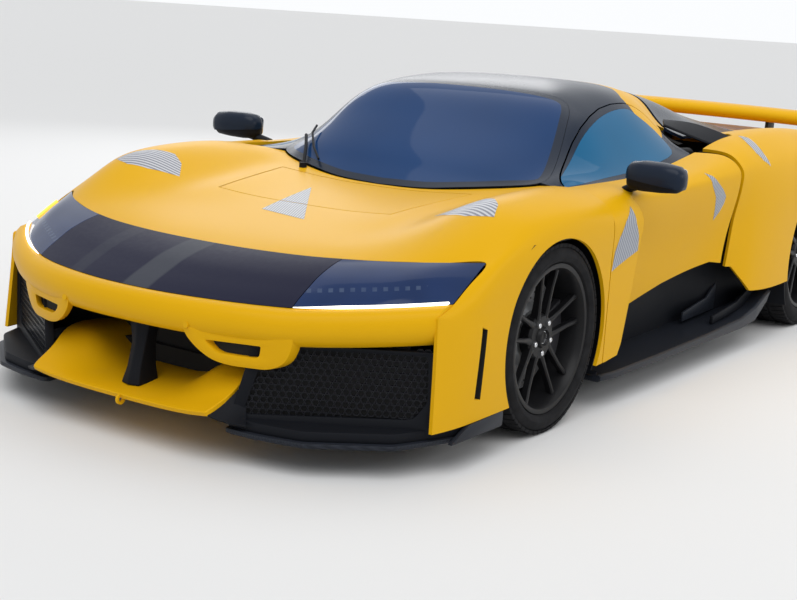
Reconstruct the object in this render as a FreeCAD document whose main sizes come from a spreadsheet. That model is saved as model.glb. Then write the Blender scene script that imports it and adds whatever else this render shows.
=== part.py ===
"""Mid-engined two-seat supercar, modelled as an assembly of named pieces.

Millimetres. +Z is up, the nose points along -Y and the car's left side is +X.
The origin lies on the ground under the middle of the car's length.
"""

import FreeCAD
import Part
import Sketcher
import math
import os

from FreeCAD import Placement, Rotation, Vector

doc = FreeCAD.newDocument("supercar")

# Driving dimensions: alias, value, what it is
SIZES = [
    ("half_width", 1030, "centre line to the widest point of the rear wings"),
    ("roof_height", 1138, "ground to the top of the roof"),
    ("wheelbase", 2665, "front axle to rear axle"),
    ("front_overhang", 1125, "nose to front axle"),
    ("rear_overhang", 1050, "rear axle to tail"),
    ("front_track", 1701, "between the middles of the front tyres"),
    ("rear_track", 1660, "between the middles of the rear tyres"),
    ("front_tyre_radius", 340, "ground to the front axle"),
    ("rear_tyre_radius", 370, "ground to the rear axle"),
    ("front_tyre_width", 285, "front tyre section"),
    ("rear_tyre_width", 345, "rear tyre section"),
    ("front_rim_radius", 254, "bead seat of the front rim"),
    ("rear_rim_radius", 267, "bead seat of the rear rim"),
    ("front_arch_radius", 357, "edge of the front wheel arch"),
    ("rear_arch_radius", 386, "edge of the rear wheel arch"),
    ("front_liner_radius", 402, "inside of the front wheel housing"),
    ("rear_liner_radius", 396, "inside of the rear wheel housing"),
    ("liner_wall", 5, "thickness of the wheel housings"),
    ("panel_wall", 22, "outer panels with their stiffening"),
    ("glass_wall", 6, "windscreen and door glass"),
    ("door_wall", 58, "door shell with its trim"),
    ("shut_gap", 7, "gap between a moving panel and its neighbours"),
    ("floor_height", 105, "ground to the underside of the floor"),
    ("floor_wall", 26, "thickness of the floor"),
    ("sill_height", 330, "ground clearance line to the top of the tub's sills"),
    ("sill_width", 130, "width of each sill"),
    ("tub_inset", 250, "widest point of the body to the tub's side"),
    ("tub_front", 840, "middle of the car to the tub's front end"),
    ("tub_rear", 560, "middle of the car to the tub's rear end"),
    ("bulkhead_wall", 30, "thickness of the tub's end walls"),
    ("nose_arc", 1300, "radius of the nose in plan"),
    ("kingpin_offset", 800, "centre line to the steering axis"),
    ("disc_radius", 204, "front brake discs"),
    ("disc_wall", 38, "thickness of a brake disc"),
    ("spoke_count", 5, "pairs of spokes in a wheel"),
    ("wheel_bolts", 5, "bolts that hold a wheel"),
    ("bolt_circle", 114, "diameter of the wheel bolt circle"),
    ("wing_chord", 330, "rear wing, front to back"),
    ("wing_half_span", 900, "centre line to the wing's tip"),
    ("wing_rise", 129, "top of the rear panel to the rear wing's top"),
    ("steering_wheel_radius", 172, "middle of the rim's tube"),
    ("seat_width", 470, "each seat"),
    ("seat_spacing", 350, "centre line to the middle of a seat"),
    ("seal_gap", 0.3, "gap between fixed pieces that stand side by side"),
]

sheet = doc.addObject("Spreadsheet::Sheet", "Sizes")
for row, (alias, value, note) in enumerate(SIZES, start=1):
    sheet.set(f"A{row}", alias)
    sheet.set(f"B{row}", str(value))
    sheet.setAlias(f"B{row}", alias)
    sheet.set(f"C{row}", note)
doc.recompute()


def size(alias):
    """A driving dimension, read from the sheet."""
    return float(sheet.get(alias))


NOSE = -(size("front_overhang") + size("wheelbase") + size("rear_overhang")) / 2
TAIL = -NOSE
FRONT_AXLE = NOSE + size("front_overhang")
REAR_AXLE = FRONT_AXLE + size("wheelbase")
HALF = size("half_width")
WALL = size("panel_wall")
GAP = size("shut_gap")
SEAL = size("seal_gap")
ROOF = size("roof_height")
FRONT_HUB = size("front_tyre_radius")
REAR_HUB = size("rear_tyre_radius")
KINGPIN = size("kingpin_offset")
TUB_SIDE = HALF - size("tub_inset")
TAIL_TOP = 856

X = Vector(1, 0, 0)
Y = Vector(0, 1, 0)
Z = Vector(0, 0, 1)
pieces = []


def keep(obj, label):
    """Names a finished piece, so that it is checked and written."""
    obj.Label = label
    pieces.append(obj)
    return obj


def feature(label, shape):
    """A piece whose shape is worked out from the sheet by this file."""
    obj = doc.addObject("Part::Feature", label)
    obj.Shape = shape
    return keep(obj, label)


def mirrored(shape):
    """The same shape on the car's other side."""
    return shape.mirror(Vector(0, 0, 0), X)


def pair(shape):
    """A shape and its mirror image, as two solids."""
    return Part.makeCompound([shape, mirrored(shape)])


def solids(shape):
    """The shape's solids as one compound, clear of stray faces."""
    found = [s for s in shape.Solids if s.Volume > 50]
    return found[0] if len(found) == 1 else Part.makeCompound(found)


def offset_line(points, wall):
    """An open line of (u, v) points moved to its right by a wall, with mitred corners."""
    moved = []
    for i, (u, v) in enumerate(points):
        sides = []
        for a, b in ((i - 1, i), (i, i + 1)):
            if a >= 0 and b < len(points):
                du, dv = points[b][0] - points[a][0], points[b][1] - points[a][1]
                length = math.hypot(du, dv)
                sides.append((dv / length, -du / length))
        nu = sum(s[0] for s in sides) / len(sides)
        nv = sum(s[1] for s in sides) / len(sides)
        reach = wall / max(nu * nu + nv * nv, 0.5)
        moved.append((u + nu * reach, v + nv * reach))
    return moved


def shell(stations, wall):
    """A wall that runs through cross sections, each (y, [(x, z), ...]) with the wall on the line's right."""
    wires = []
    for y, line in stations:
        ring = list(line) + offset_line(line, wall)[::-1]
        corners = [Vector(x, y, z) for x, z in ring]
        wires.append(Part.makePolygon(corners + corners[:1]))
    return Part.makeLoft(wires, True, True)


def full_width(half_line):
    """A half section from the centre line outwards, continued over the other side, right to left."""
    return [(-x, z) for x, z in half_line[:0:-1]] + list(half_line)


def prism(points, axis, low, high):
    """A straight-sided cutter: an outline swept along X, Y or Z from low to high."""
    place = {
        "x": lambda a, b: Vector(low, a, b),
        "y": lambda a, b: Vector(a, low, b),
        "z": lambda a, b: Vector(a, b, low),
    }[axis]
    corners = [place(a, b) for a, b in points]
    direction = {"x": X, "y": Y, "z": Z}[axis]
    face = Part.Face(Part.makePolygon(corners + corners[:1]))
    return face.extrude(direction * (high - low))


def block(low, high):
    """An upright box between two corners."""
    return Part.makeBox(high[0] - low[0], high[1] - low[1], high[2] - low[2], Vector(*low))


def barrel(radius, x_low, x_high, y, z):
    """A cylinder across the car."""
    return Part.makeCylinder(radius, x_high - x_low, Vector(x_low, y, z), X)


def fused(shapes):
    """Several shapes as one solid, with seams between flat faces removed."""
    whole = shapes[0]
    for other in shapes[1:]:
        whole = whole.fuse(other)
    return whole.removeSplitter()


def tube(points, radius):
    """A round bar through straight runs, with ball joints at its corners."""
    parts = []
    for a, b in zip(points, points[1:]):
        parts.append(Part.makeCylinder(radius, (b - a).Length, a, b - a))
    for corner in points[1:-1]:
        parts.append(Part.makeSphere(radius, corner))
    return fused(parts) if len(parts) > 1 else parts[0]


# Body sections. Each row is one cross section: its distance behind a named line, then x and z of each
# feature line from the centre outwards. Widths are insets from the widest half of the body.
FRONT_LINES = ("lid", "foot", "crest", "shoulder", "side", "sill")
FRONT_SECTIONS = [
    # from front axle, centre z, lid x z, foot x z, crest x z, shoulder x z, side x z, sill x z
    (-750, 600, (630, 602), (450, 600), (270, 580), (88, 478), (72, 400), (74, 135)),
    (-655, 640, (620, 642), (450, 645), (270, 640), (86, 525), (64, 450), (66, 140)),
    (-430, 672, (630, 672), (470, 690), (290, 748), (86, 653), (50, 570), (48, 160)),
    (-205, 702, (620, 702), (500, 710), (285, 800), (86, 742), (37, 665), (32, 170)),
    (45, 727, (600, 733), (485, 742), (265, 824), (88, 784), (28, 705), (28, 180)),
    (245, 744, (570, 749), (450, 766), (245, 830), (90, 788), (25, 700), (26, 190)),
    (495, 775, (560, 785), (420, 792), (235, 824), (92, 782), (26, 670), (28, 200)),
]
# The glasshouse is drawn CANOPY_RISE tall above the belt, and stretched from there up to the roof's height
BELT = 800
CANOPY_RISE = 338
STRETCH = (ROOF - BELT) / CANOPY_RISE
CANOPY_SECTIONS = [
    # from front axle, below roof, inner x drop, rail x drop, belt x z
    (310, 383, (680, 381), (430, 366), (330, 778)),
    (495, 270, (680, 278), (420, 323), (262, 805)),
    (695, 153, (690, 166), (430, 243), (246, 806)),
    (875, 55, (700, 68), (450, 153), (242, 808)),
    (1095, 10, (710, 23), (470, 98), (238, 818)),
    (1345, 0, (710, 15), (480, 88), (236, 838)),
    (1595, 10, (720, 28), (500, 113), (250, 876)),
    (1800, 30, (745, 51), (555, 153), (420, 930)),
]
DOOR_SECTIONS = [
    # from front axle, belt x z, top x z, shoulder x z, hollow x z, foot x z
    (418, (224, 818), (145, 812), (94, 780), (142, 600), (168, 262)),
    (610, (250, 816), (165, 812), (92, 784), (140, 600), (165, 262)),
    (895, (250, 815), (152, 813), (84, 776), (143, 560), (168, 262)),
    (1295, (245, 838), (142, 838), (74, 792), (126, 560), (152, 300)),
    (1730, (252, 884), (140, 888), (54, 822), (78, 620), (98, 400)),
]
QUARTER_SECTIONS = [
    # from rear axle, deck x z, crest x z, shoulder x z, waist x z, foot x z
    (-960, (252, 884), (150, 894), (54, 820), (78, 620), (98, 400)),
    (-770, (335, 925), (205, 960), (50, 840), (28, 600), (30, 275)),
    (-470, (410, 935), (226, 990), (40, 852), (2, 620), (5, 272)),
    (0, (430, 915), (232, 974), (48, 870), (0, 660), (2, 300)),
    (530, (430, 892), (240, 916), (78, 850), (20, 620), (38, 300)),
    (900, (430, 880), (262, 884), (125, 826), (80, 620), (100, 380)),
]
SPINE_SECTIONS = [
    # from rear axle, below roof, ridge x drop, side x drop, deck x z
    (-470, 78, (770, 98), (580, 193), (440, 925)),
    (0, 143, (790, 163), (590, 233), (440, 905)),
    (530, 223, (790, 233), (590, 258), (440, 885)),
]


def across(insets):
    """Points of a section table as x and z from the centre line and the ground."""
    return [(HALF - inset, height) for inset, height in insets]


def front_line(row):
    """The front body's half section from the centre line to the sill."""
    return row[0] + FRONT_AXLE, [(0, row[1])] + across(row[2:])


def stretched(height):
    """A drawn height of the glasshouse, moved with the roof."""
    return BELT + (height - BELT) * STRETCH


def canopy_line(row, start):
    """A roof or spine half section: drops below the roof, then the foot's own height."""
    half = [(0, ROOF - row[1] * STRETCH)]
    half += [(HALF - inset, ROOF - drop * STRETCH) for inset, drop in row[2:-1]]
    return row[0] + start, half + across(row[-1:])


def side_line(row, start):
    """A section of one side of the body, from the top edge to the foot."""
    return row[0] + start, across(row[1:])


# Lines where the real panels meet, in plan (x, y) or in side view (y, z)
DOOR_FRONT = FRONT_AXLE + 375
BLADE_TOP = FRONT_AXLE + 606
BLADE_FOOT = FRONT_AXLE + 500
DOOR_REAR = FRONT_AXLE + 1715
REAR_BEVEL = 0.35
LID_FRONT = FRONT_AXLE - 190
LID_REAR = FRONT_AXLE + 265
LID_FRONT_HALF = 400
CANOPY_START = FRONT_AXLE + 402
PIN_RADIUS = 4
LID_REAR_HALF = 455
SCREEN_BASE = [(0, 300), (350, 350), (560, 440), (640, 510)]
SCREEN_TOP = [(560, 740), (530, 880), (300, 897), (0, 902)]
DOOR_AXIS_X = HALF - 72
DOOR_AXIS_Z = 786
DOOR_TILT = 45
DOOR_SIGHT_X = HALF - 400


def screen_outline(inset):
    """The windscreen's outline in plan, drawn in by a gap."""
    half = [(max(x - inset, 0), FRONT_AXLE + y + inset) for x, y in SCREEN_BASE]
    half += [(max(x - inset, 0), FRONT_AXLE + y - inset) for x, y in SCREEN_TOP]
    return half + [(-x, y) for x, y in half[::-1] if x > 0]


def lid_outline(inset):
    """The front lid's outline in plan."""
    return [
        (-LID_FRONT_HALF + inset, LID_FRONT + inset),
        (LID_FRONT_HALF - inset, LID_FRONT + inset),
        (LID_REAR_HALF - inset, LID_REAR - inset),
        (-LID_REAR_HALF + inset, LID_REAR - inset),
    ]


def tilted_prism(outline, inboard, outboard):
    """A cutter for the door opening: an outline swept outwards and up, the way the door leaves."""
    run = Vector(1, 0, math.tan(math.radians(DOOR_TILT)))
    corners = [Vector(DOOR_SIGHT_X, y, z) - run * inboard for y, z in outline]
    face = Part.Face(Part.makePolygon(corners + corners[:1]))
    return face.extrude(run * (inboard + outboard))


# Outlines of the door's glass and of the opening in the roof, as points on the roof's skin
WINDOW = [
    # from front axle, x, z
    (470, 735, 806), (570, 698, 830), (695, 650, 871), (875, 600, 970), (1095, 566, 1036), (1345, 556, 1046),
    (1430, 580, 1015), (1480, 660, 925), (1400, 728, 862), (1095, 752, 832), (695, 750, 822),
]
DOORWAY = [
    (408, 745, 788), (495, 712, 806), (600, 655, 840), (695, 622, 884), (875, 574, 990), (1095, 530, 1050),
    (1345, 522, 1062), (1480, 545, 1035), (1560, 610, 960), (1620, 700, 890), (1640, 840, 720), (408, 840, 720),
]


def side_outline(points, inset):
    """An outline on the skin, seen along the way the door leaves and drawn in by a gap."""
    lean = math.tan(math.radians(DOOR_TILT))
    flat = [(y, stretched(z) + (DOOR_SIGHT_X - x) * lean) for y, x, z in points]
    closed = [flat[-1]] + flat + [flat[0]]
    moved = offset_line(closed, inset)[1:-1] if inset else flat
    return [(FRONT_AXLE + y, z) for y, z in moved]


front_shell = shell([(y, full_width(line)) for y, line in map(front_line, FRONT_SECTIONS)], WALL)
for side in (-1, 1):
    low, high = sorted((side * (HALF - 140), side * (HALF + 60)))
    front_shell = front_shell.cut(barrel(size("front_arch_radius"), low, high, FRONT_AXLE, FRONT_HUB))

# The black visor runs from lamp to lamp, between the nose bar and the bonnet
VISOR_LINE = [
    # lower x z, upper x y z: the lower edge stands on the nose bar's arc
    (0, 508, 0, -735, 624),
    (300, 507, 300, -717, 627),
    (570, 506, 600, -660, 638),
    (800, 524, 800, -568, 648),
    (938, 540, 942, -432, 652),
]
BAR_DEPTH = 60


def nose_line(x, behind):
    """Where the nose's arc lies at a width, moved back by a distance, measured along the car."""
    radius = size("nose_arc") - behind
    return NOSE + size("nose_arc") - math.sqrt(radius * radius - x * x)


def visor_outline(inset):
    """Everything ahead of the bonnet's front edge, in plan."""
    back = [(row[2] + inset * 0.3, FRONT_AXLE + row[3] + inset) for row in VISOR_LINE]
    half = back + [(HALF - 86 + inset * 0.3, NOSE - 100)]
    return half + [(-x, y) for x, y in half[::-1] if x > inset]


def visor_piece(first, last, wall, inset=0):
    """A stretch of the visor's skin between two of its stations."""
    wires = []
    for lx, lz, ux, uy, uz in VISOR_LINE[first : last + 1]:
        low = Vector(lx, nose_line(lx, BAR_DEPTH), lz)
        high = Vector(ux, FRONT_AXLE + uy, uz)
        down = Vector(0, 0, -wall)
        if inset:
            shift = (high - low).normalize() * inset
            low, high = low + shift, high - shift
        wires.append(Part.makePolygon([low, high, high + down, low + down, low]))
    return Part.makeLoft(wires, True, True)


clam = front_shell.cut(prism(visor_outline(0), "z", 400, 900))
clam = clam.cut(prism(lid_outline(0), "z", 600, 900))
clam = clam.cut(prism(screen_outline(-SEAL), "z", 600, 900))
for side in (-1, 1):
    low, high = sorted((side * (HALF - 236), side * (HALF + 60)))
    clam = clam.cut(block((low, DOOR_FRONT - GAP, 100), (high, DOOR_FRONT + 400, 900)))
clam = clam.cut(block((-HALF, CANOPY_START - SEAL, 100), (HALF, CANOPY_START + 400, 900)))
# A tall slot in each cheek lets air out ahead of the wheel
CHEEK_SLOT = [(-518, 225), (-502, 225), (-488, 452), (-504, 452)]
cheek_slot = prism([(FRONT_AXLE + y, z) for y, z in CHEEK_SLOT], "x", HALF - 120, HALF)
clam = clam.cut(cheek_slot).cut(mirrored(cheek_slot))
lid = front_shell.common(prism(lid_outline(GAP), "z", 600, 900))


def add_hinges(lid_shape, body_shape, lid_edge, behind, xs, height):
    """Ears on a lid's edge turn on pins in the body's skin, a little way past the gap."""
    direction = 1 if behind > 0 else -1
    pin_y = lid_edge + direction * (GAP + 14)
    slot_low, slot_high = sorted((pin_y + direction * 15, lid_edge))
    arm_low, arm_high = sorted((pin_y, lid_edge - direction * 20))
    for x in xs:
        slot = block((x - 26, slot_low, height - 60), (x + 26, slot_high, height + 60))
        ear = barrel(9, x - 20, x + 20, pin_y, height)
        arm = block((x - 20, arm_low, height - 8), (x + 20, arm_high, height + 8))
        bore = barrel(PIN_RADIUS + SEAL, x - 20, x + 20, pin_y, height)
        body_shape = body_shape.cut(slot).fuse(barrel(PIN_RADIUS, x - 28, x + 28, pin_y, height))
        lid_shape = lid_shape.fuse(ear).fuse(arm).cut(bore)
    return lid_shape.removeSplitter(), body_shape.removeSplitter()


LID_PIN_XS = (-200, 200)
LID_PIN_HEIGHT = 744
lid, clam = add_hinges(lid, clam, LID_REAR - GAP, 1, LID_PIN_XS, LID_PIN_HEIGHT)
feature("front_lid", solids(lid))
visor = visor_piece(0, 2, WALL)
feature("visor", visor.fuse(mirrored(visor)).removeSplitter())
lamp = visor_piece(2, 4, WALL).cut(block((560, NOSE, 400), (570 + 2 * SEAL, TAIL, 900)))
feature("headlamps", pair(solids(lamp)))


# The shells that stand on the tub's walls are let in over them
SILL_TOP = size("floor_height") + size("sill_height")
FRONT_WALL_TOP = 780
REAR_WALL_TOP = stretched(1072)
FRONT_WALL_HALF = 700
REAR_WALL_HALF = 270
tub_front_wall = block(
    (-FRONT_WALL_HALF, -size("tub_front"), SILL_TOP),
    (FRONT_WALL_HALF, size("bulkhead_wall") - size("tub_front"), FRONT_WALL_TOP),
)
tub_rear_wall = block(
    (-REAR_WALL_HALF, size("tub_rear") - size("bulkhead_wall"), SILL_TOP),
    (REAR_WALL_HALF, size("tub_rear"), REAR_WALL_TOP),
)
front_clamshell = solids(clam.cut(tub_front_wall))
feature("front_clamshell", front_clamshell)

# Roof, screen, doors
def canopy_shell(wall):
    """The roof's skin, from the foot of the screen to the engine lid."""
    lines = [canopy_line(row, FRONT_AXLE) for row in CANOPY_SECTIONS]
    lines += [canopy_line(row, REAR_AXLE) for row in SPINE_SECTIONS]
    return shell([(y, full_width(line)) for y, line in lines], wall)


roof_shell = canopy_shell(WALL)
DOOR_REACH = (120, 250)
LID_HINGE = REAR_AXLE - 770
doorway_left = tilted_prism(side_outline(DOORWAY, 0), *DOOR_REACH)
roof = roof_shell.cut(prism(screen_outline(0), "z", 600, ROOF + 100))
roof = roof.cut(doorway_left).cut(mirrored(doorway_left))
roof = roof.cut(block((-HALF, NOSE, 600), (HALF, CANOPY_START, ROOF)))
roof = roof.cut(block((-HALF, LID_HINGE - GAP / 2, 600), (HALF, TAIL, ROOF + 50)))
# The shoulder intakes are open between the roof's side and the rear wings
intake = block((HALF - 455, LID_HINGE - 260, 700), (HALF, LID_HINGE, ROOF))
roof = roof.cut(intake).cut(mirrored(intake))
glass_skin = canopy_shell(size("glass_wall"))
screen = glass_skin.common(prism(screen_outline(SEAL), "z", 600, ROOF + 100))
screen = screen.cut(block((-HALF, NOSE, 600), (HALF, FRONT_AXLE + 330, ROOF)))
feature("windscreen", solids(screen))

window_cut = tilted_prism(side_outline(WINDOW, 0), *DOOR_REACH)
frame = roof_shell.common(tilted_prism(side_outline(DOORWAY, GAP), *DOOR_REACH)).cut(window_cut)
glass = glass_skin.common(tilted_prism(side_outline(WINDOW, SEAL), *DOOR_REACH))


def door_plan(gap):
    """The door's rear cut in plan: bevelled, so that its inner edge clears as it leaves."""
    rear = DOOR_REAR - gap
    outer, inner = HALF + 80, HALF - 420
    inner_rear = rear - REAR_BEVEL * (outer - inner)
    return [(inner, DOOR_FRONT), (outer, DOOR_FRONT), (outer, rear), (inner, inner_rear)]


def door_skin():
    """The door's outer shell with its hollow side, cut to its rear line."""
    skin = shell([side_line(row, FRONT_AXLE) for row in DOOR_SECTIONS], size("door_wall"))
    return skin.common(prism(door_plan(GAP / 2), "z", 100, ROOF))


def door_blade():
    """The blade behind the front wheel: it carries the wing's surface back past the shut line."""
    line = [(HALF - 224, 822), (HALF - 145, 814), (HALF - 92, 782), (HALF - 27, 668), (HALF - 27, 195)]
    blade = shell([(DOOR_FRONT, line), (DOOR_FRONT + 300, line)], 30)
    outline = [
        (DOOR_FRONT - 10, 900), (BLADE_TOP + 30, 900), (BLADE_TOP, 800),
        (BLADE_FOOT, 215), (BLADE_FOOT - 60, 195), (DOOR_FRONT - 10, 195),
    ]
    blade = blade.common(prism(outline, "x", 0, HALF + 100))
    return blade.cut(barrel(size("front_arch_radius"), HALF - 200, HALF + 100, FRONT_AXLE, FRONT_HUB))


left_door = fused([door_skin(), door_blade(), solids(frame)])
# The foot of the door rises at the rear, over the side air channel
NOTCH = [(820, 200), (820, 262), (1180, 330), (1480, 420), (1640, 425), (1800, 405), (1800, 200)]
left_door = left_door.cut(prism([(FRONT_AXLE + y, z) for y, z in NOTCH], "x", 0, HALF + 100))
feature("door_left", solids(left_door))
feature("door_right", mirrored(solids(left_door)))
feature("door_glass_left", solids(glass))
feature("door_glass_right", mirrored(solids(glass)))


# Rear wings, deck and tail
def quarter():
    """One rear wing's skin, cut for its wheel, the air channel and the door."""
    lines = [side_line(row, REAR_AXLE) for row in QUARTER_SECTIONS]
    skin = shell(lines, WALL)
    skin = skin.cut(prism(door_plan(-GAP / 2), "z", 100, ROOF))
    skin = skin.cut(barrel(size("rear_arch_radius"), HALF - 180, HALF + 60, REAR_AXLE, REAR_HUB))
    return skin.cut(barrel(size("rear_liner_radius"), HALF - 600, HALF - 60, REAR_AXLE, REAR_HUB))


rear_wings = pair(solids(quarter()))
feature("rear_wings", rear_wings)

engine_lid = roof_shell.cut(block((-HALF, NOSE, 600), (HALF, LID_HINGE + GAP / 2, ROOF + 50)))
for row in range(6):
    y = REAR_AXLE - 420 + row * 130
    engine_lid = engine_lid.cut(block((-150, y, 700), (150, y + 60, ROOF)))
ENGINE_PIN_XS = (-90, 90)
ENGINE_PIN_HEIGHT = stretched(1090)
engine_lid, roof = add_hinges(engine_lid, roof, LID_HINGE + GAP / 2, -1, ENGINE_PIN_XS, ENGINE_PIN_HEIGHT)
feature("engine_lid", solids(engine_lid))
feature("roof", solids(roof.cut(tub_rear_wall).cut(tub_front_wall)))

# The deck behind the lid carries the wing; its edge lip follows the tail in plan
RIM_X = HALF - 430 - SEAL
DECK_SECTIONS = [
    # along the car, x and z from the centre line outwards
    (REAR_AXLE + 536, (0, 912), (240, 902), (440, 878), (RIM_X, 884)),
    (TAIL - 350, (0, 884), (240, 880), (440, 868), (RIM_X, 880)),
    (TAIL - 150, (0, 884), (240, 880), (440, 868), (RIM_X, 878)),
]
TAIL_PLAN = [(925, TAIL - 142), (700, TAIL - 88), (350, TAIL - 54), (0, TAIL - 42)]
PILLAR_X = 430
PILLAR_Y = TAIL - 230
PILLAR_HALF = 60
PILLAR_FOOT = 700
PILLAR_WALL = 20


def tail_band(behind, wall):
    """The tail's curve in plan as a closed band of a given wall."""
    outer = [(x, y + behind) for x, y in TAIL_PLAN]
    outer += [(-x, y) for x, y in outer[-2::-1]]
    return outer + [(x, y - wall) for x, y in outer[::-1]]


deck = shell([(row[0], full_width(list(row[1:]))) for row in DECK_SECTIONS], WALL)
lip_edge = TAIL_PLAN + [(-x, y) for x, y in TAIL_PLAN[-2::-1]]
tip_x, tip_y = TAIL_PLAN[0]
lip = prism(lip_edge + [(-tip_x, tip_y - 8), (tip_x, tip_y - 8)], "z", TAIL_TOP + SEAL, TAIL_TOP + 24)
lip_rest = block((-RIM_X, TAIL - 180, TAIL_TOP + SEAL), (RIM_X, TAIL - 140, TAIL_TOP + 20))
deck = deck.fuse(lip_rest).fuse(lip)
for side in (-1, 1):
    low, high = sorted((side * (PILLAR_X - PILLAR_WALL / 2 - SEAL), side * (PILLAR_X + PILLAR_WALL / 2 + SEAL)))
    well = block((low, PILLAR_Y - PILLAR_HALF - SEAL, PILLAR_FOOT), (high, PILLAR_Y + PILLAR_HALF + SEAL, ROOF))
    deck = deck.cut(well)
tail_deck = solids(deck.removeSplitter().cut(rear_wings))
feature("tail_deck", tail_deck)

PANEL_FOOT = 400
LAMP_LOW = 690
LAMP_HIGH = 760
LAMP_END = 800
PIPE_X = 95
PIPE_Z = 490
PIPE_RADIUS = 66
PIPE_START = TAIL - 205
PIPE_LENGTH = 190
tail_panel = prism(tail_band(-4, 24), "z", PANEL_FOOT, TAIL_TOP)
tail_panel = tail_panel.cut(block((-LAMP_END, TAIL - 220, LAMP_LOW), (LAMP_END, TAIL, LAMP_HIGH)))
for side in (-1, 1):
    hole = Part.makeCylinder(PIPE_RADIUS + SEAL, PIPE_LENGTH, Vector(side * PIPE_X, PIPE_START, PIPE_Z), Y)
    tail_panel = tail_panel.cut(hole)
tail_panel = tail_panel.cut(rear_wings)
feature("tail_panel", solids(tail_panel))
lamps = prism(tail_band(-2, 20), "z", LAMP_LOW + SEAL, LAMP_HIGH - SEAL)
lamps = lamps.common(block((180, TAIL - 220, LAMP_LOW), (LAMP_END - SEAL, TAIL, LAMP_HIGH)))
feature("tail_lamps", pair(solids(lamps)))
pipe = Part.makeCylinder(PIPE_RADIUS, PIPE_LENGTH, Vector(PIPE_X, PIPE_START, PIPE_Z), Y)
pipe = pipe.cut(Part.makeCylinder(PIPE_RADIUS - 5, PIPE_LENGTH, Vector(PIPE_X, PIPE_START + 5, PIPE_Z), Y))
feature("exhausts", pair(pipe))

# Floor pieces ahead of the tail: ramp with upright fins
FIN_GAPS = (0, 130, 260, 390, 520)
RAMP_HALF = 600
RAMP_START = REAR_AXLE + 460
ramp_side = [(RAMP_START, 112), (TAIL - 28, 330), (TAIL - 28, 352), (RAMP_START, 134)]
ramp = prism(ramp_side, "x", -RAMP_HALF, RAMP_HALF)
fin_side = [(RAMP_START + 120, 116), (TAIL - 15, 178), (TAIL - 15, 345), (RAMP_START + 120, 170)]
fins = [prism(fin_side, "x", side * offset - 6, side * offset + 6) for offset in FIN_GAPS for side in (-1, 1)]
rear_plate = block((-RAMP_HALF, TAIL - 90, 335), (RAMP_HALF, TAIL - 66, PANEL_FOOT - SEAL))
feature("diffuser", solids(fused([ramp, rear_plate] + fins)))


# Nose: tray, post, splitter, grilles and the carrier behind them
TRAY_TOP = 172
TRAY_FOOT = 150
BAR_FOOT = 386
SPLITTER_TOP = 128
SPLITTER_FOOT = 100
TRAY = [
    # x, behind the nose
    (200, 4), (395, 18), (330, 270), (200, 485),
]


def behind_nose(points):
    """Plan points given as x and the distance behind the nose."""
    return [(x, NOSE + behind) for x, behind in points]


tray_half = behind_nose(TRAY)
tray = prism(tray_half + [(-x, y) for x, y in tray_half[::-1]], "z", TRAY_FOOT, TRAY_TOP)
tip_side = [(NOSE + 18, TRAY_FOOT), (NOSE + 18, TRAY_TOP + 18), (NOSE + 158, TRAY_TOP), (NOSE + 158, TRAY_FOOT)]
for side in (-1, 1):
    low, high = sorted((side * 375, side * 397))
    tray = tray.fuse(prism(tip_side, "x", low, high))
feature("nose_tray", solids(tray.removeSplitter()))
post = [
    (NOSE + 80, TRAY_TOP + SEAL), (NOSE + 120, BAR_FOOT - SEAL),
    (NOSE + 160, BAR_FOOT - SEAL), (NOSE + 170 - SEAL, TRAY_TOP + SEAL),
]
feature("tray_post", prism(post, "x", -26, 26))

SPLITTER = [
    # x, behind the nose
    (400, 90), (520, 90), (680, 120), (900, 300), (985, 520),
    (985, 700), (930, 700), (860, 460), (400, 280),
]
splitter = prism(behind_nose(SPLITTER), "z", SPLITTER_FOOT, SPLITTER_TOP)
winglet = prism(behind_nose([(985, 420), (1000, 520), (1000, 700), (985, 700)]), "z", SPLITTER_FOOT, 168)
splitter = fused([splitter, winglet])
feature("splitter", pair(solids(splitter)))
GRILLE = [(440, 126), (925, 434), (925, 448), (440, 140)]
feature("side_grilles", pair(prism(behind_nose(GRILLE), "z", SPLITTER_TOP + SEAL, BAR_FOOT - SEAL)))
CARRIER = [(900, 465), (440, 170), (-440, 170), (-900, 465), (-900, 495), (-430, 198), (430, 198), (900, 495)]
carrier = prism(behind_nose(CARRIER), "z", TRAY_TOP + SEAL, BAR_FOOT - SEAL)
carrier = carrier.fuse(block((-420, NOSE + 198, 355), (420, NOSE + 300, BAR_FOOT - SEAL)))
feature("nose_carrier", carrier.removeSplitter())


# Wheel housings
def liner(radius, y, z, x_low, x_high, top):
    """A wheel housing: an arched band over the tyre."""
    wall = size("liner_wall")
    band = barrel(radius + wall, x_low, x_high, y, z).common(block((x_low, NOSE, 150), (x_high, TAIL, top + wall)))
    room = barrel(radius, x_low, x_high, y, z).common(block((x_low, NOSE, 0), (x_high, TAIL, top)))
    return band.cut(room)


front_liner = liner(size("front_liner_radius"), FRONT_AXLE, FRONT_HUB, 640, HALF - 40, 688).cut(front_clamshell)
front_liner = front_liner.cut(block((HALF - 65, DOOR_FRONT - 2 * GAP, 0), (HALF, DOOR_FRONT + 100, 900)))
rear_liner = liner(size("rear_liner_radius"), REAR_AXLE, REAR_HUB, 620, HALF - 10, 900).cut(rear_wings)
feature("front_wheel_housings", pair(solids(front_liner)))
feature("rear_wheel_housings", pair(solids(rear_liner)))

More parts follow.
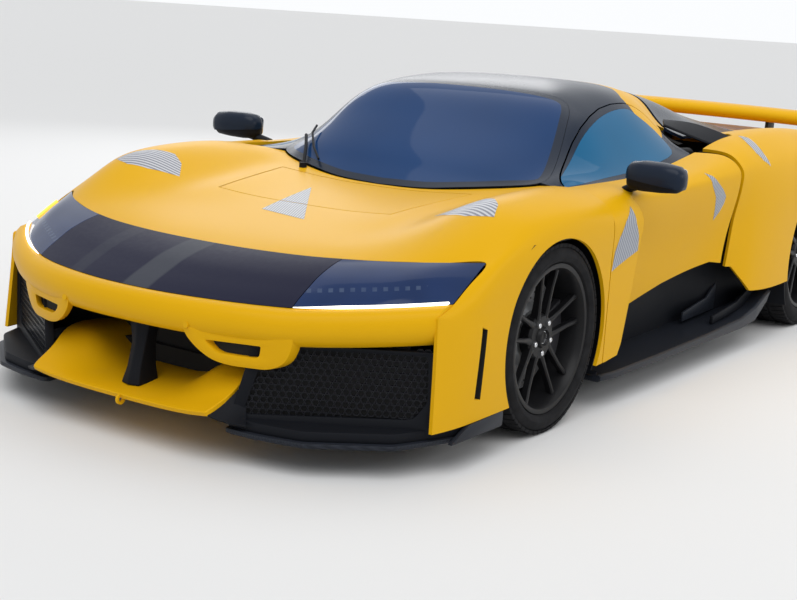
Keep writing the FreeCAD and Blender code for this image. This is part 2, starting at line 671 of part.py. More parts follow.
# Sides under the doors
skirt_side = [(-882, 106), (-882, 132), (560, 150), (790, 245), (850, 245), (690, 122), (600, 106)]
sill = TUB_SIDE + SEAL
feature("side_skirts", pair(prism(skirt_side, "x", sill, HALF - 20)))
duct_plan = [(sill, 300), (sill + 16, 300), (948, 930), (930, 930)]
duct = prism(duct_plan, "z", 120, 700).cut(prism(skirt_side, "x", sill, HALF)).cut(rear_wings)
feature("side_ducts", pair(solids(duct)))
duct_floor = prism([(612, 520), (690, 520), (690, 940), (640, 1100), (612, 1100)], "z", 780, 800)
duct_wall = block((612, 520, 800), (618, 1100, 905))
feature("shoulder_ducts", pair(duct_floor.fuse(duct_wall).removeSplitter()))

# A blade spans each shoulder intake, from the roof's side down to the rear wing
BLADE_SECTIONS = [
    # x, then y and z of the leading, upper, trailing and lower edge
    (520, (295, 1018), (330, 1030), (372, 1022), (335, 1012)),
    (600, (345, 992), (385, 1008), (430, 1000), (390, 990)),
    (690, (425, 956), (470, 974), (520, 964), (475, 954)),
    (800, (530, 936), (580, 950), (640, 942), (585, 930)),
]


def shoulder_blade():
    """The blade, lofted across the car and cut where it meets the roof and the wing."""
    wires = []
    for x, *edges in BLADE_SECTIONS:
        corners = [Vector(x, y, z) for y, z in edges]
        wires.append(Part.makePolygon(corners + corners[:1]))
    blade = Part.makeLoft(wires, True, True)
    return max(blade.cut(roof).cut(rear_wings).Solids, key=lambda solid: solid.Volume)


feature("shoulder_blades", pair(shoulder_blade()))


# Pieces sketched on planes, their corners bound to the sheet
def sketch_on(body, name, plane, corners, offset="0"):
    """A closed outline on a plane of the body; each corner is two sheet expressions."""
    sketch = body.newObject("Sketcher::SketchObject", name)
    support = [item for item in body.Origin.OriginFeatures if item.Role == plane][0]
    sketch.AttachmentSupport = (support, [""])
    sketch.MapMode = "FlatFace"
    sketch.setExpression(".AttachmentOffset.Base.z", offset)
    points = [Vector(*[float(sheet.evalExpression(text)) for text in corner]) for corner in corners]
    count = len(points)
    for i in range(count):
        sketch.addGeometry(Part.LineSegment(points[i], points[(i + 1) % count]))
    for i in range(count):
        sketch.addConstraint(Sketcher.Constraint("Coincident", i, 2, (i + 1) % count, 1))
    for i, corner in enumerate(corners):
        for kind, value, text in zip(("DistanceX", "DistanceY"), points[i], corner):
            index = sketch.addConstraint(Sketcher.Constraint(kind, -1, 1, i, 1, value))
            sketch.setExpression(f"Constraints[{index}]", text)
    return sketch


def circle_on(body, name, plane, radius, centre=("0", "0"), offset="0"):
    """A circle on a plane of the body, bound to the sheet."""
    sketch = body.newObject("Sketcher::SketchObject", name)
    support = [item for item in body.Origin.OriginFeatures if item.Role == plane][0]
    sketch.AttachmentSupport = (support, [""])
    sketch.MapMode = "FlatFace"
    sketch.setExpression(".AttachmentOffset.Base.z", offset)
    middle = Vector(*[float(sheet.evalExpression(text)) for text in centre])
    sketch.addGeometry(Part.Circle(middle, Z, float(sheet.evalExpression(radius))))
    index = sketch.addConstraint(Sketcher.Constraint("Radius", 0, float(sheet.evalExpression(radius))))
    sketch.setExpression(f"Constraints[{index}]", radius)
    for kind, value, text in zip(("DistanceX", "DistanceY"), middle, centre):
        index = sketch.addConstraint(Sketcher.Constraint(kind, -1, 1, 0, 3, value))
        sketch.setExpression(f"Constraints[{index}]", text)
    return sketch


def pad(body, sketch, length):
    """Material along the sketch's normal."""
    made = body.newObject("PartDesign::Pad", "Pad" + sketch.Name)
    made.Profile = sketch
    made.setExpression("Length", length)
    body.Tip = made
    return made


def pocket(body, sketch, depth):
    """A cut against the sketch's normal."""
    made = body.newObject("PartDesign::Pocket", "Pocket" + sketch.Name)
    made.Profile = sketch
    made.setExpression("Length", depth)
    body.Tip = made
    return made


def around(body, feature_to_repeat, axis, count):
    """A feature repeated about one of the body's axes."""
    pattern = body.newObject("PartDesign::PolarPattern", "Around" + feature_to_repeat.Name)
    pattern.Originals = [feature_to_repeat]
    line = [item for item in body.Origin.OriginFeatures if item.Role == axis][0]
    pattern.Axis = (line, [""])
    pattern.Angle = 360
    pattern.setExpression("Occurrences", count)
    body.Tip = pattern
    return pattern


def rectangle(x_low, x_high, y_low, y_high):
    """The four corners of an upright rectangle, as sheet expressions."""
    return [(x_low, y_low), (x_high, y_low), (x_high, y_high), (x_low, y_high)]


def new_body(name, base=None, turn=0):
    """A body at a place, turned about the vertical."""
    body = doc.addObject("PartDesign::Body", name)
    if base is not None:
        body.Placement = Placement(base, Rotation(Z, turn))
    return body


# Passenger tub: floor, sills and the two bulkheads
tub = new_body("tub")
tub_side = "Sizes.half_width - Sizes.tub_inset"
pad(
    tub,
    sketch_on(
        tub, "TubPlan", "XY_Plane",
        rectangle(f"-({tub_side})", tub_side, "-Sizes.tub_front", "Sizes.tub_rear"),
        "Sizes.floor_height",
    ),
    "Sizes.sill_height",
)
inner = f"{tub_side} - Sizes.sill_width"
pocket(
    tub,
    sketch_on(
        tub, "TubInside", "XY_Plane",
        rectangle(
            f"-({inner})", inner, "-Sizes.tub_front + Sizes.bulkhead_wall", "Sizes.tub_rear - Sizes.bulkhead_wall"
        ),
        "Sizes.floor_height + Sizes.sill_height",
    ),
    "Sizes.sill_height - Sizes.floor_wall",
)
pad(
    tub,
    sketch_on(
        tub, "FrontWall", "XY_Plane",
        rectangle(
            f"-{FRONT_WALL_HALF}", f"{FRONT_WALL_HALF}", "-Sizes.tub_front", "-Sizes.tub_front + Sizes.bulkhead_wall"
        ),
        "Sizes.floor_height + Sizes.sill_height",
    ),
    f"{FRONT_WALL_TOP} - Sizes.floor_height - Sizes.sill_height",
)
pad(
    tub,
    sketch_on(
        tub, "RearWall", "XY_Plane",
        rectangle(
            f"-{REAR_WALL_HALF}", f"{REAR_WALL_HALF}", "Sizes.tub_rear - Sizes.bulkhead_wall", "Sizes.tub_rear"
        ),
        "Sizes.floor_height + Sizes.sill_height",
    ),
    f"{REAR_WALL_TOP} - Sizes.floor_height - Sizes.sill_height",
)
pad(
    tub,
    sketch_on(
        tub, "RearPanel", "XY_Plane",
        rectangle("-560", "560", "Sizes.tub_rear - Sizes.bulkhead_wall", "Sizes.tub_rear"),
        "Sizes.floor_height + Sizes.sill_height",
    ),
    "Sizes.sill_height + 110",
)
keep(tub, "tub")

# Nose bar: a rounded profile swept along the nose's arc
bar_angle = 93
nose_bar = new_body("nose_bar", Vector(0, NOSE + size("nose_arc"), 0), -bar_angle / 2)
reach = "-Sizes.nose_arc"
bar_profile = sketch_on(
    nose_bar, "BarProfile", "YZ_Plane",
    [
        (f"{reach}", "430"), (f"{reach} + 8", "402"), (f"{reach} + 30", f"{BAR_FOOT}"), (f"{reach} + 120", f"{BAR_FOOT}"),
        (f"{reach} + 120", "478"), (f"{reach} + 59.7", "478"), (f"{reach} + 59.7", "503"), (f"{reach} + 25", "492"),
        (f"{reach} + 4", "462"),
    ],
)
bar = nose_bar.newObject("PartDesign::Revolution", "Bar")
bar.Profile = bar_profile
bar.ReferenceAxis = (bar_profile, ["V_Axis"])
bar.Angle = bar_angle
nose_bar.Tip = bar
nose_bar.Label = "bar"
doc.recompute()

# Two towing loops hang from the bar; each is a bent strip with an opening above its lower lip
LOOP_TOP = BAR_FOOT + 14
LOOP_SIDE = [
    (253, LOOP_TOP), (583, LOOP_TOP), (568, 350), (540, 322), (510, 316), (325, 316), (290, 324), (262, 356),
]
LOOP_HOLE = [(337, LOOP_TOP), (497, LOOP_TOP), (492, 352), (482, 346), (352, 346), (342, 352)]


def towing_loop():
    """One loop, cut from a band that follows the nose's arc."""
    xs = (240, 340, 440, 520, 600)
    band = [(x, nose_line(x, 14)) for x in xs] + [(x, nose_line(x, 36)) for x in xs[::-1]]
    strip = prism(band, "z", 300, LOOP_TOP).common(prism(LOOP_SIDE, "y", NOSE, NOSE + 300))
    return strip.cut(prism(LOOP_HOLE, "y", NOSE, NOSE + 300))


loop = towing_loop()
feature("nose_bar", fused([nose_bar.Shape, loop, mirrored(loop)]))

# Rear wing with its two pillars
wing = new_body("rear_wing")
wing_y = f"{PILLAR_Y} - 110"
pad(
    wing,
    sketch_on(
        wing, "WingSection", "YZ_Plane",
        [
            (f"{wing_y}", f"{TAIL_TOP} + Sizes.wing_rise - 40"), (f"{wing_y} + 14", f"{TAIL_TOP} + Sizes.wing_rise - 52"),
            (f"{wing_y} + Sizes.wing_chord * 0.5", f"{TAIL_TOP} + Sizes.wing_rise - 54"),
            (f"{wing_y} + Sizes.wing_chord", f"{TAIL_TOP} + Sizes.wing_rise - 12"),
            (f"{wing_y} + Sizes.wing_chord", f"{TAIL_TOP} + Sizes.wing_rise"),
            (f"{wing_y} + Sizes.wing_chord * 0.5", f"{TAIL_TOP} + Sizes.wing_rise - 16"),
            (f"{wing_y} + 24", f"{TAIL_TOP} + Sizes.wing_rise - 24"),
        ],
        "-Sizes.wing_half_span",
    ),
    "2 * Sizes.wing_half_span",
)
for side, name in ((1, "Left"), (-1, "Right")):
    pad(
        wing,
        sketch_on(
            wing, "Pillar" + name, "YZ_Plane",
            rectangle(
                f"{PILLAR_Y - PILLAR_HALF}", f"{PILLAR_Y + PILLAR_HALF}", f"{PILLAR_FOOT}",
                f"{TAIL_TOP} + Sizes.wing_rise - 45",
            ),
            f"{side * PILLAR_X - PILLAR_WALL / 2}",
        ),
        f"{PILLAR_WALL}",
    )
keep(wing, "rear_wing")

# Engine and gearbox as one plain block
engine = doc.addObject("Part::Box", "engine")
engine.Length = 560
engine.Width = 1050
engine.Height = 430
engine.setExpression("Placement.Base.x", "-Length / 2")
engine.setExpression("Placement.Base.y", "Sizes.tub_rear + 60")
engine.setExpression("Placement.Base.z", "Sizes.floor_height + 95")
keep(engine, "engine")


# Wheels: each body stands on its own hub, with its outer face along its own +X
def revolved(body, name, corners):
    """A ring turned about the wheel's axle; corners are across the wheel and out from its middle."""
    sketch = sketch_on(body, name, "XZ_Plane", corners)
    made = body.newObject("PartDesign::Revolution", "Turned" + name)
    made.Profile = sketch
    made.ReferenceAxis = (sketch, ["H_Axis"])
    made.Angle = 360
    body.Tip = made
    return made


def rim(name, end, place, turn):
    """A rim: barrel, hub and pairs of thin spokes with the bolts' seats."""
    body = new_body(name, place, turn)
    r, half = f"Sizes.{end}_rim_radius", f"Sizes.{end}_tyre_width / 2 - 16"
    revolved(
        body, "Barrel" + name,
        [
            (f"-({half})", f"{r} + 12"), (f"-({half}) + 9", f"{r} + 12"), (f"-({half}) + 11", r), (f"{half} - 11", r),
            (f"{half} - 9", f"{r} + 12"), (half, f"{r} + 12"), (half, f"{r} - 6"), (f"{half} - 16", f"{r} - 11"),
            (f"-({half}) + 10", f"{r} - 11"), (f"-({half})", f"{r} - 6"),
        ],
    )
    face = f"{half} - 46"
    pad(body, circle_on(body, "Hub" + name, "YZ_Plane", "72", offset="46"), f"{face} + 34 - 46")
    pocket(body, circle_on(body, "Bore" + name, "YZ_Plane", "28 + Sizes.seal_gap", offset="66"), "20")
    for number, lean in ((0, 1), (1, -1)):
        spoke = pad(
            body,
            sketch_on(
                body, f"Spoke{number}" + name, "YZ_Plane",
                [
                    (f"{lean * 16}", "55"), (f"{lean * 40}", "55"),
                    (f"{lean * 66}", f"{r} - 18"), (f"{lean * 48}", f"{r} - 14"),
                ],
                face,
            ),
            "30",
        )
        around(body, spoke, "X_Axis", "Sizes.spoke_count")
    seat_sketch = circle_on(
        body, "Bolt" + name, "YZ_Plane", "13", ("0", "Sizes.bolt_circle / 2"), f"{face} + 34"
    )
    seat = pocket(body, seat_sketch, "14")
    around(body, seat, "X_Axis", "Sizes.wheel_bolts")
    keep(body, name)


def tyre(name, end, place, turn):
    """A hollow tyre whose beads sit between the rim's lips."""
    body = new_body(name, place, turn)
    r, out, half = f"Sizes.{end}_rim_radius", f"Sizes.{end}_tyre_radius", f"Sizes.{end}_tyre_width / 2"
    outer = [
        (f"{half} - 28", f"{r} + 1"), (f"{half} - 28", f"{r} + 14"), (half, f"{r} + 32"), (half, f"{out} - 26"),
        (f"{half} - 24", out),
    ]
    inside = [
        (f"{half} - 36", f"{out} - 14"), (f"{half} - 13", f"{out} - 34"), (f"{half} - 13", f"{r} + 36"),
        (f"{half} - 42", f"{r} + 20"), (f"{half} - 42", f"{r} + 1"),
    ]
    ring = [(f"-({a})", b) for a, b in outer] + outer[::-1] + inside[::-1]
    ring += [(f"-({a})", b) for a, b in inside]
    revolved(body, "Tread" + name, ring)
    keep(body, name)


def disc(name, place, turn):
    """A brake disc with its bell."""
    body = new_body(name, place, turn)
    r = "Sizes.disc_radius"
    corners = [
        ("-20", "96"), ("-20", r), ("Sizes.disc_wall - 20", r), ("Sizes.disc_wall - 20", "104"), ("46", "92"),
        ("46", "28 + Sizes.seal_gap"), ("38", "28 + Sizes.seal_gap"), ("38", "84"), ("10", "92"),
    ]
    revolved(body, "Section" + name, corners)
    keep(body, name)


for end, axle, hub in (("front", FRONT_AXLE, FRONT_HUB), ("rear", REAR_AXLE, REAR_HUB)):
    for side, hand in ((1, "left"), (-1, "right")):
        place = Vector(side * size(f"{end}_track") / 2, axle, hub)
        turn = 0 if side == 1 else 180
        rim(f"rim_{end}_{hand}", end, place, turn)
        tyre(f"tyre_{end}_{hand}", end, place, turn)
        disc(f"disc_{end}_{hand}", place, turn)


# Uprights, calipers, arms and frames. The arms' balls rest in the rims of the bore through the upright.
PLATE_HALF = 130
BALL_RADIUS = 19
BALL_SEAT = 9
BALL_REACH = PLATE_HALF + math.sqrt(BALL_RADIUS**2 - BALL_SEAT**2) + SEAL


def upright(x, y, z, hub_x):
    """A hub carrier with its spindle and a caliper that straddles the disc."""
    plate = block((x - 30, y - 42, z - PLATE_HALF), (x + 22, y + 42, z + PLATE_HALF))
    plate = plate.cut(Part.makeCylinder(BALL_SEAT, 2 * PLATE_HALF, Vector(x, y, z - PLATE_HALF)))
    spindle = Part.makeCylinder(28, hub_x + 60 - x, Vector(x, y, z), X)
    disc_x = hub_x
    ring = barrel(228, disc_x - 44, disc_x + 42, y, z).cut(barrel(140, disc_x - 44, disc_x + 42, y, z))
    slot = barrel(212, disc_x - 27, disc_x + 25, y, z)
    wedge = prism([(y, z), (y + 300, z + 150), (y + 300, z - 150)], "x", disc_x - 44, disc_x + 42)
    caliper = ring.cut(slot).common(wedge)
    arm = block((x - 30, y, z - 40), (disc_x - 30, y + 175, z + 40))
    return fused([plate, spindle, caliper, arm])


front_hub_x = size("front_track") / 2
rear_hub_x = size("rear_track") / 2
knuckle = upright(KINGPIN, FRONT_AXLE, FRONT_HUB, front_hub_x)
feature("knuckle_left", knuckle)
feature("knuckle_right", mirrored(knuckle))


def arms(inner_x, outer_x, y, heights, spread):
    """Wishbones as round bars from the frame to the upright's ball joints."""
    bars = []
    for z, ball_z in heights:
        ball = Vector(outer_x, y, ball_z)
        for offset in (-spread, spread):
            bars.append(tube([Vector(inner_x, y + offset, z), ball], 13))
        bars.append(Part.makeSphere(BALL_RADIUS, ball))
    return bars


def frame_rails(x, width, y_low, y_high, z_low, z_high):
    """A pair of straight rails."""
    left = block((x, y_low, z_low), (x + width, y_high, z_high))
    return [left, mirrored(left)]


front_parts = frame_rails(300, 70, NOSE + 198 + SEAL, -size("tub_front") - SEAL, 190, 270)
front_parts += frame_rails(300, 60, FRONT_AXLE - 190, FRONT_AXLE + 190, 270, 500)
for y in (NOSE + 290, FRONT_AXLE - 230, FRONT_AXLE + 190, -900):
    front_parts.append(block((-300, y, 200), (300, y + 58, 260)))
front_balls = ((230, FRONT_HUB - BALL_REACH), (460, FRONT_HUB + BALL_REACH))
front_arms = arms(330, KINGPIN, FRONT_AXLE, front_balls, 150)
front_parts += front_arms + [mirrored(bar) for bar in front_arms]
feature("front_subframe", solids(fused(front_parts)))

RAIL_END = RAMP_START + 130
rear_parts = frame_rails(300, 60, size("tub_rear") + SEAL, RAIL_END, 200, 280)
rear_parts += frame_rails(300, 50, REAR_AXLE - 190, REAR_AXLE + 190, 280, 560)
for y in (size("tub_rear") + 40, REAR_AXLE + 300):
    rear_parts.append(block((-300, y, 140), (300, y + 58, 200 - SEAL)))
    rear_parts += frame_rails(300, 60, y, y + 58, 140, 200)
foot = [(RAIL_END - 60, 100), (RAIL_END, 100), (RAIL_END, 200), (RAIL_END - 60, 200)]
over_ramp = [(RAMP_START, 134 + SEAL), (TAIL - 28, 352 + SEAL), (TAIL - 28, 600), (RAMP_START, 600)]
left_foot = prism(foot, "x", 300, 360).common(prism(over_ramp, "x", 300, 360))
rear_parts += [left_foot, mirrored(left_foot)]
rear_parts += frame_rails(310, 40, RAIL_END - 45, RAIL_END - 5, 280, TAIL_TOP + 24)
rear_arms = arms(330, rear_hub_x - 62, REAR_AXLE, ((240, 250), (500, 490)), 160)
rear_arms.append(upright(rear_hub_x - 60, REAR_AXLE, REAR_HUB, rear_hub_x))
rear_parts += rear_arms + [mirrored(bar) for bar in rear_arms]
feature("rear_subframe", solids(fused(rear_parts).cut(tail_deck)))

# Cabin
FLOOR = size("floor_height") + size("floor_wall") + SEAL
SEAT = [
    (-330, FLOOR), (-350, 250), (-300, 285), (120, 240), (200, 300),
    (430, 900), (500, 905), (480, 700), (330, 200), (300, FLOOR),
]
seat_x = size("seat_spacing")
seat_half = size("seat_width") / 2
seat = prism(SEAT, "x", seat_x - seat_half, seat_x + seat_half)
feature("seat_left", seat)
feature("seat_right", mirrored(seat))
DASH_FRONT = size("bulkhead_wall") - size("tub_front") + SEAL
DASH = [(DASH_FRONT, 560), (DASH_FRONT, 690), (-700, 752), (-560, 745), (-500, 690), (-520, 600), (-620, 560)]
console = prism([(-620, FLOOR), (-700, 560), (-520, 600), (-420, 420), (300, 330), (300, FLOOR)], "x", -95, 95)
dash = prism(DASH, "x", -640, 640).fuse(console)

# Steering wheel: rim, spokes and column on an axis that leans back
GRIP_CORNERS = [math.radians(22.5 + 45 * corner) for corner in range(8)]
column = Vector(seat_x, -395, 640)
column_axis = Vector(0, math.cos(math.radians(22)), math.sin(math.radians(22)))
grip = [(size("steering_wheel_radius") + 15 * math.cos(turn), 15 * math.sin(turn)) for turn in GRIP_CORNERS]
grip_points = [column + X * out + column_axis * along for out, along in grip]
wheel_rim = Part.Face(Part.makePolygon(grip_points + grip_points[:1])).revolve(column, column_axis, 360)
boss = Part.makeCylinder(42, 60, column - column_axis * 50, column_axis)
cross = Part.makeCylinder(11, 2 * size("steering_wheel_radius"), column - X * size("steering_wheel_radius"), X)
stem = Part.makeCylinder(18, 130, column - column_axis * 160, column_axis)
feature("steering_wheel", fused([wheel_rim, boss, cross, stem]))
sleeve = Part.makeCylinder(18 + SEAL, 140, column - column_axis * 166, column_axis)
feature("dashboard", dash.cut(sleeve).removeSplitter())

# Mirrors on their stalks
MIRROR = [(925, -640), (960, -690), (1080, -700), (1120, -660), (1112, -590), (940, -585)]
housing = prism(MIRROR, "z", 830, 926)
stalk = tube([Vector(880, -600, 806), Vector(955, -635, 850)], 16)
mirror_left = fused([housing, stalk])
mirror_left = mirror_left.cut(left_door)
feature("mirror_left", solids(mirror_left))
feature("mirror_right", mirrored(solids(mirror_left)))


def check_and_write():
    """Stops on a failed or open piece, then writes one STEP file for each."""
    doc.recompute()
    os.makedirs("parts", exist_ok=True)
    for obj in doc.Objects:
        if any(state in ("Invalid", "Error") for state in obj.State):
            raise RuntimeError(f"{obj.Label} failed to build: {obj.State}")
    for obj in pieces:
        shape = obj.Shape
        if shape.isNull() or not shape.isValid() or shape.Volume <= 0:
            raise RuntimeError(f"{obj.Label} is not a valid solid")
        shape.exportStep(f"parts/{obj.Label}.step")
        print(f"{obj.Label}: {len(shape.Solids)} solid(s), {shape.Volume / 1e6:.2f} litres")


check_and_write()
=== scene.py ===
"""Looks of a mid-engined supercar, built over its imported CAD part.

Every piece is in metres in the CAD frame: +Z up, nose towards -Y, the car's left side towards +X.
"""

import logging
import math
from dataclasses import dataclass
from enum import Enum
from typing import Iterable, Sequence

import bmesh
import bpy
from mathutils import Matrix, Vector


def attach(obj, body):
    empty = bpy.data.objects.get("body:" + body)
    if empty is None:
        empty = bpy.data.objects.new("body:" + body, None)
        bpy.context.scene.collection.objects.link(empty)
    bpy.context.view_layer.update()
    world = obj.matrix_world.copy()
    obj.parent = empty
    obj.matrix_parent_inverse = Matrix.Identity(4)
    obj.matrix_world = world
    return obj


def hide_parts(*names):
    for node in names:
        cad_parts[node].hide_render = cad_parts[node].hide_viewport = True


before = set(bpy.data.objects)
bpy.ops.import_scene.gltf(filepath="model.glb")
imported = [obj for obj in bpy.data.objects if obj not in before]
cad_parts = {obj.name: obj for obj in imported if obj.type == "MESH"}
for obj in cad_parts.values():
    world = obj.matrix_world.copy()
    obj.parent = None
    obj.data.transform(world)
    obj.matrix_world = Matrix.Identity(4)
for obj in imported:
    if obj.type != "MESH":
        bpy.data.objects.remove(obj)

logging.basicConfig(level=logging.INFO, format="%(message)s")
log = logging.getLogger("supercar")

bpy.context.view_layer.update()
FRONT_AXLE = -1.295
REAR_AXLE = 1.370
Point2 = tuple[float, float]
Point3 = tuple[float, float, float]
Colour = tuple[float, float, float]
BMesh = bmesh.types.BMesh
ORIGIN = (0, 0, 0)
ACROSS = Vector((1, 0, 0))
REARWARD = Vector((0, 1, 0))
UP = Vector((0, 0, 1))
AXES = {"x": ACROSS, "y": REARWARD, "z": UP}
ARCH_STEPS = 96
# Only faces this near to a cut's line are split by it
REACH = 0.03
FINE_REACH = 0.012


class Side(Enum):
    """The two sides of the car, as the sign of X."""

    LEFT = 1
    RIGHT = -1

    @property
    def word(self) -> str:
        """The side's name as the CAD nodes spell it."""
        return self.name.lower()


# Shaders


class Socket:
    """A number in a shader, so that shader maths reads as an expression."""

    def __init__(self, shader: "Shader", link: object) -> None:
        """Wraps an output socket.

        Args:
            shader: The shader that the socket is in.
            link: The output socket.
        """
        self.shader = shader
        self.link = link

    def maths(self, operation: str, *values: object) -> "Socket":
        """Adds a Math node.

        Args:
            operation: The node's operation.
            values: Its inputs in order.

        Returns:
            The node's result.
        """
        made = self.shader.node("ShaderNodeMath", {"operation": operation}, dict(enumerate(values)))
        return Socket(self.shader, made.outputs[0])

    def __add__(self, other: object) -> "Socket":
        """Sum."""
        return self.maths("ADD", self, other)

    def __radd__(self, other: object) -> "Socket":
        """Sum with a number on the left."""
        return self.maths("ADD", other, self)

    def __sub__(self, other: object) -> "Socket":
        """Difference."""
        return self.maths("SUBTRACT", self, other)

    def __rsub__(self, other: object) -> "Socket":
        """Difference from a number."""
        return self.maths("SUBTRACT", other, self)

    def __mul__(self, other: object) -> "Socket":
        """Product."""
        return self.maths("MULTIPLY", self, other)

    def __rmul__(self, other: object) -> "Socket":
        """Product with a number on the left."""
        return self.maths("MULTIPLY", other, self)

    def __truediv__(self, other: object) -> "Socket":
        """Quotient."""
        return self.maths("DIVIDE", self, other)

    def __rtruediv__(self, other: object) -> "Socket":
        """A number divided by this."""
        return self.maths("DIVIDE", other, self)

    def __lt__(self, other: object) -> "Socket":
        """1 where this is less."""
        return self.maths("LESS_THAN", self, other)

    def __gt__(self, other: object) -> "Socket":
        """1 where this is more."""
        return self.maths("GREATER_THAN", self, other)

    def repeat(self, period: float) -> "Socket":
        """This value's place within a period, from 0 to 1."""
        ratio = self / period
        return ratio.maths("FRACT", ratio)

    def size(self) -> "Socket":
        """The value without its sign."""
        return self.maths("ABSOLUTE", self)


class Shader:
    """A material's node tree around one Principled shader."""

    def __init__(self, name: str, constants: dict[str, object]) -> None:
        """Makes the material.

        Args:
            name: The material's name.
            constants: Values of the Principled shader's sockets.
        """
        self.material = bpy.data.materials.new(name)
        self.material.use_nodes = True
        self.tree = self.material.node_tree
        self.surface = self.tree.nodes["Principled BSDF"]
        self.set(self.surface, constants)

    def set(self, node: bpy.types.Node, values: dict) -> None:
        """Fills a node's sockets with numbers, colours or links."""
        for key, value in values.items():
            link = value.link if isinstance(value, Socket) else value
            if isinstance(link, bpy.types.NodeSocket):
                self.tree.links.new(link, node.inputs[key])
            else:
                node.inputs[key].default_value = value

    def node(self, kind: str, settings: dict | None = None, values: dict | None = None) -> bpy.types.Node:
        """Makes any node.

        Args:
            kind: The node's type.
            settings: Its own settings, set first.
            values: Values or links of its input sockets.

        Returns:
            The node.
        """
        made = self.tree.nodes.new(kind)
        for key, value in (settings or {}).items():
            setattr(made, key, value)
        self.set(made, values or {})
        return made

    def place(self) -> object:
        """The surface point in the car's own frame."""
        return self.node("ShaderNodeTexCoord").outputs["Object"]

    def axes(self) -> tuple[Socket, Socket, Socket]:
        """The surface point's x, y and z."""
        parts = self.node("ShaderNodeSeparateXYZ", values={"Vector": self.place()})
        return tuple(Socket(self, output) for output in parts.outputs)

    def noise(self, scale: float, detail: float = 2.0) -> Socket:
        """Even noise over the piece.

        Args:
            scale: Waves in a metre.
            detail: Octaves.

        Returns:
            A value about 0.5.
        """
        made = self.node("ShaderNodeTexNoise", values={"Vector": self.place(), "Scale": scale, "Detail": detail})
        return Socket(self, made.outputs["Fac"])

    def blend(self, factor: Socket, low: object, high: object) -> object:
        """A colour between two.

        Args:
            factor: 0 for the first colour, 1 for the second.
            low: The first colour, or a link.
            high: The second colour, or a link.

        Returns:
            The colour's socket.
        """
        low, high = ((*colour, 1.0) if isinstance(colour, tuple) else colour for colour in (low, high))
        made = self.node("ShaderNodeMix", {"data_type": "RGBA"}, {0: factor, 6: low, 7: high})
        return made.outputs[2]

    def coat(self, **values: object) -> None:
        """Sets the Principled shader's base_colour or roughness, or both."""
        names = {"base_colour": "Base Color", "roughness": "Roughness"}
        self.set(self.surface, {names[key]: value for key, value in values.items()})

    def bump(self, height: Socket, strength: float, distance: float) -> None:
        """Raises the surface by a height map."""
        made = self.node("ShaderNodeBump", values={"Strength": strength, "Distance": distance, "Height": height})
        self.set(self.surface, {"Normal": made.outputs["Normal"]})


@dataclass(frozen=True)
class Finish:
    """One finish: its Principled values, a light grain, and the record's slot that it belongs to."""

    name: str
    slot: str
    colour: Colour
    roughness: float = 0.5
    metallic: float = 0.0
    coat: float = 0.0
    coat_roughness: float = 0.05
    grain: float = 0.0
    grain_scale: float = 400.0
    mottle: float = 0.0
    extra: tuple[tuple[str, object], ...] = ()

    def make(self) -> bpy.types.Material:
        """Builds the material."""
        shader = Shader(
            self.name,
            {
                "Base Color": (*self.colour, 1.0),
                "Roughness": self.roughness,
                "Metallic": self.metallic,
                "Coat Weight": self.coat,
                "Coat Roughness": self.coat_roughness,
                **dict(self.extra),
            },
        )
        if self.mottle:
            patches = shader.noise(3.0, 3.0)
            shader.coat(roughness=self.roughness + (patches - 0.5) * self.mottle)
        if self.grain:
            shader.bump(shader.noise(self.grain_scale, 2.0), self.grain, 0.0004)
        self.dress(shader)
        return shader.material

    def toned(self, by: float, plus: float = 0.0) -> Colour:
        """The finish's colour, made lighter or darker."""
        return tuple(min(1.0, part * by + plus) for part in self.colour)

    def dress(self, shader: Shader) -> None:
        """Adds what a special finish has besides."""


@dataclass(frozen=True)
class Hatched(Finish):
    """Parallel bars on a ground colour, such as a film with a line pattern."""

    bar: Colour = (0.35, 0.36, 0.38)
    along: Point3 = (1.0, 0.0, 0.0)
    period: float = 0.012
    share: float = 0.5

    def dress(self, shader: Shader) -> None:
        """Paints the bars across one direction."""
        x, y, z = shader.axes()
        run = x * self.along[0] + y * self.along[1] + z * self.along[2]
        bars = run.repeat(self.period) < self.share
        shader.coat(base_colour=shader.blend(bars, self.colour, self.bar))


@dataclass(frozen=True)
class Woven(Finish):
    """Carbon weave: small squares whose sheen alternates."""

    cell: float = 0.004

    def dress(self, shader: Shader) -> None:
        """Alternates the roughness and colour of the cells."""
        x, y, z = shader.axes()
        run = (x + z * 0.7).repeat(self.cell * 2) < 0.5
        across = (y + z * 0.3).repeat(self.cell * 2) < 0.5
        checks = (run - across).size()
        weave = shader.blend(checks, self.colour, self.toned(1.9, 0.004))
        shader.coat(base_colour=weave, roughness=self.roughness + checks * 0.08)


# Meshes


def drop(bm: BMesh, name: str, materials: Sequence[bpy.types.Material], sharp: float = 40.0) -> bpy.types.Object:
    """Turns a bmesh into a smooth-shaded object with sharp edges over an angle.

    Args:
        bm: The mesh, which is freed.
        name: The object's name.
        materials: Its material slots.
        sharp: Edges that turn by more degrees than this stay sharp.

    Returns:
        The object, linked to the scene.
    """
    limit = math.radians(sharp)
    for face in bm.faces:
        face.smooth = True
    for edge in bm.edges:
        edge.smooth = not (len(edge.link_faces) == 2 and edge.calc_face_angle(0.0) > limit)
    mesh = bpy.data.meshes.new(name)
    bm.to_mesh(mesh)
    bm.free()
    thing = bpy.data.objects.new(name, mesh)
    for material in materials:
        mesh.materials.append(material)
    bpy.context.scene.collection.objects.link(thing)
    return thing


def baked(thing: bpy.types.Object) -> BMesh:
    """The object's mesh with its modifiers worked in, as a new bmesh; the object is removed."""
    graph = bpy.context.evaluated_depsgraph_get()
    bm = bmesh.new()
    bm.from_object(thing, graph)
    mesh = thing.data
    bpy.data.objects.remove(thing)
    bpy.data.meshes.remove(mesh)
    return bm


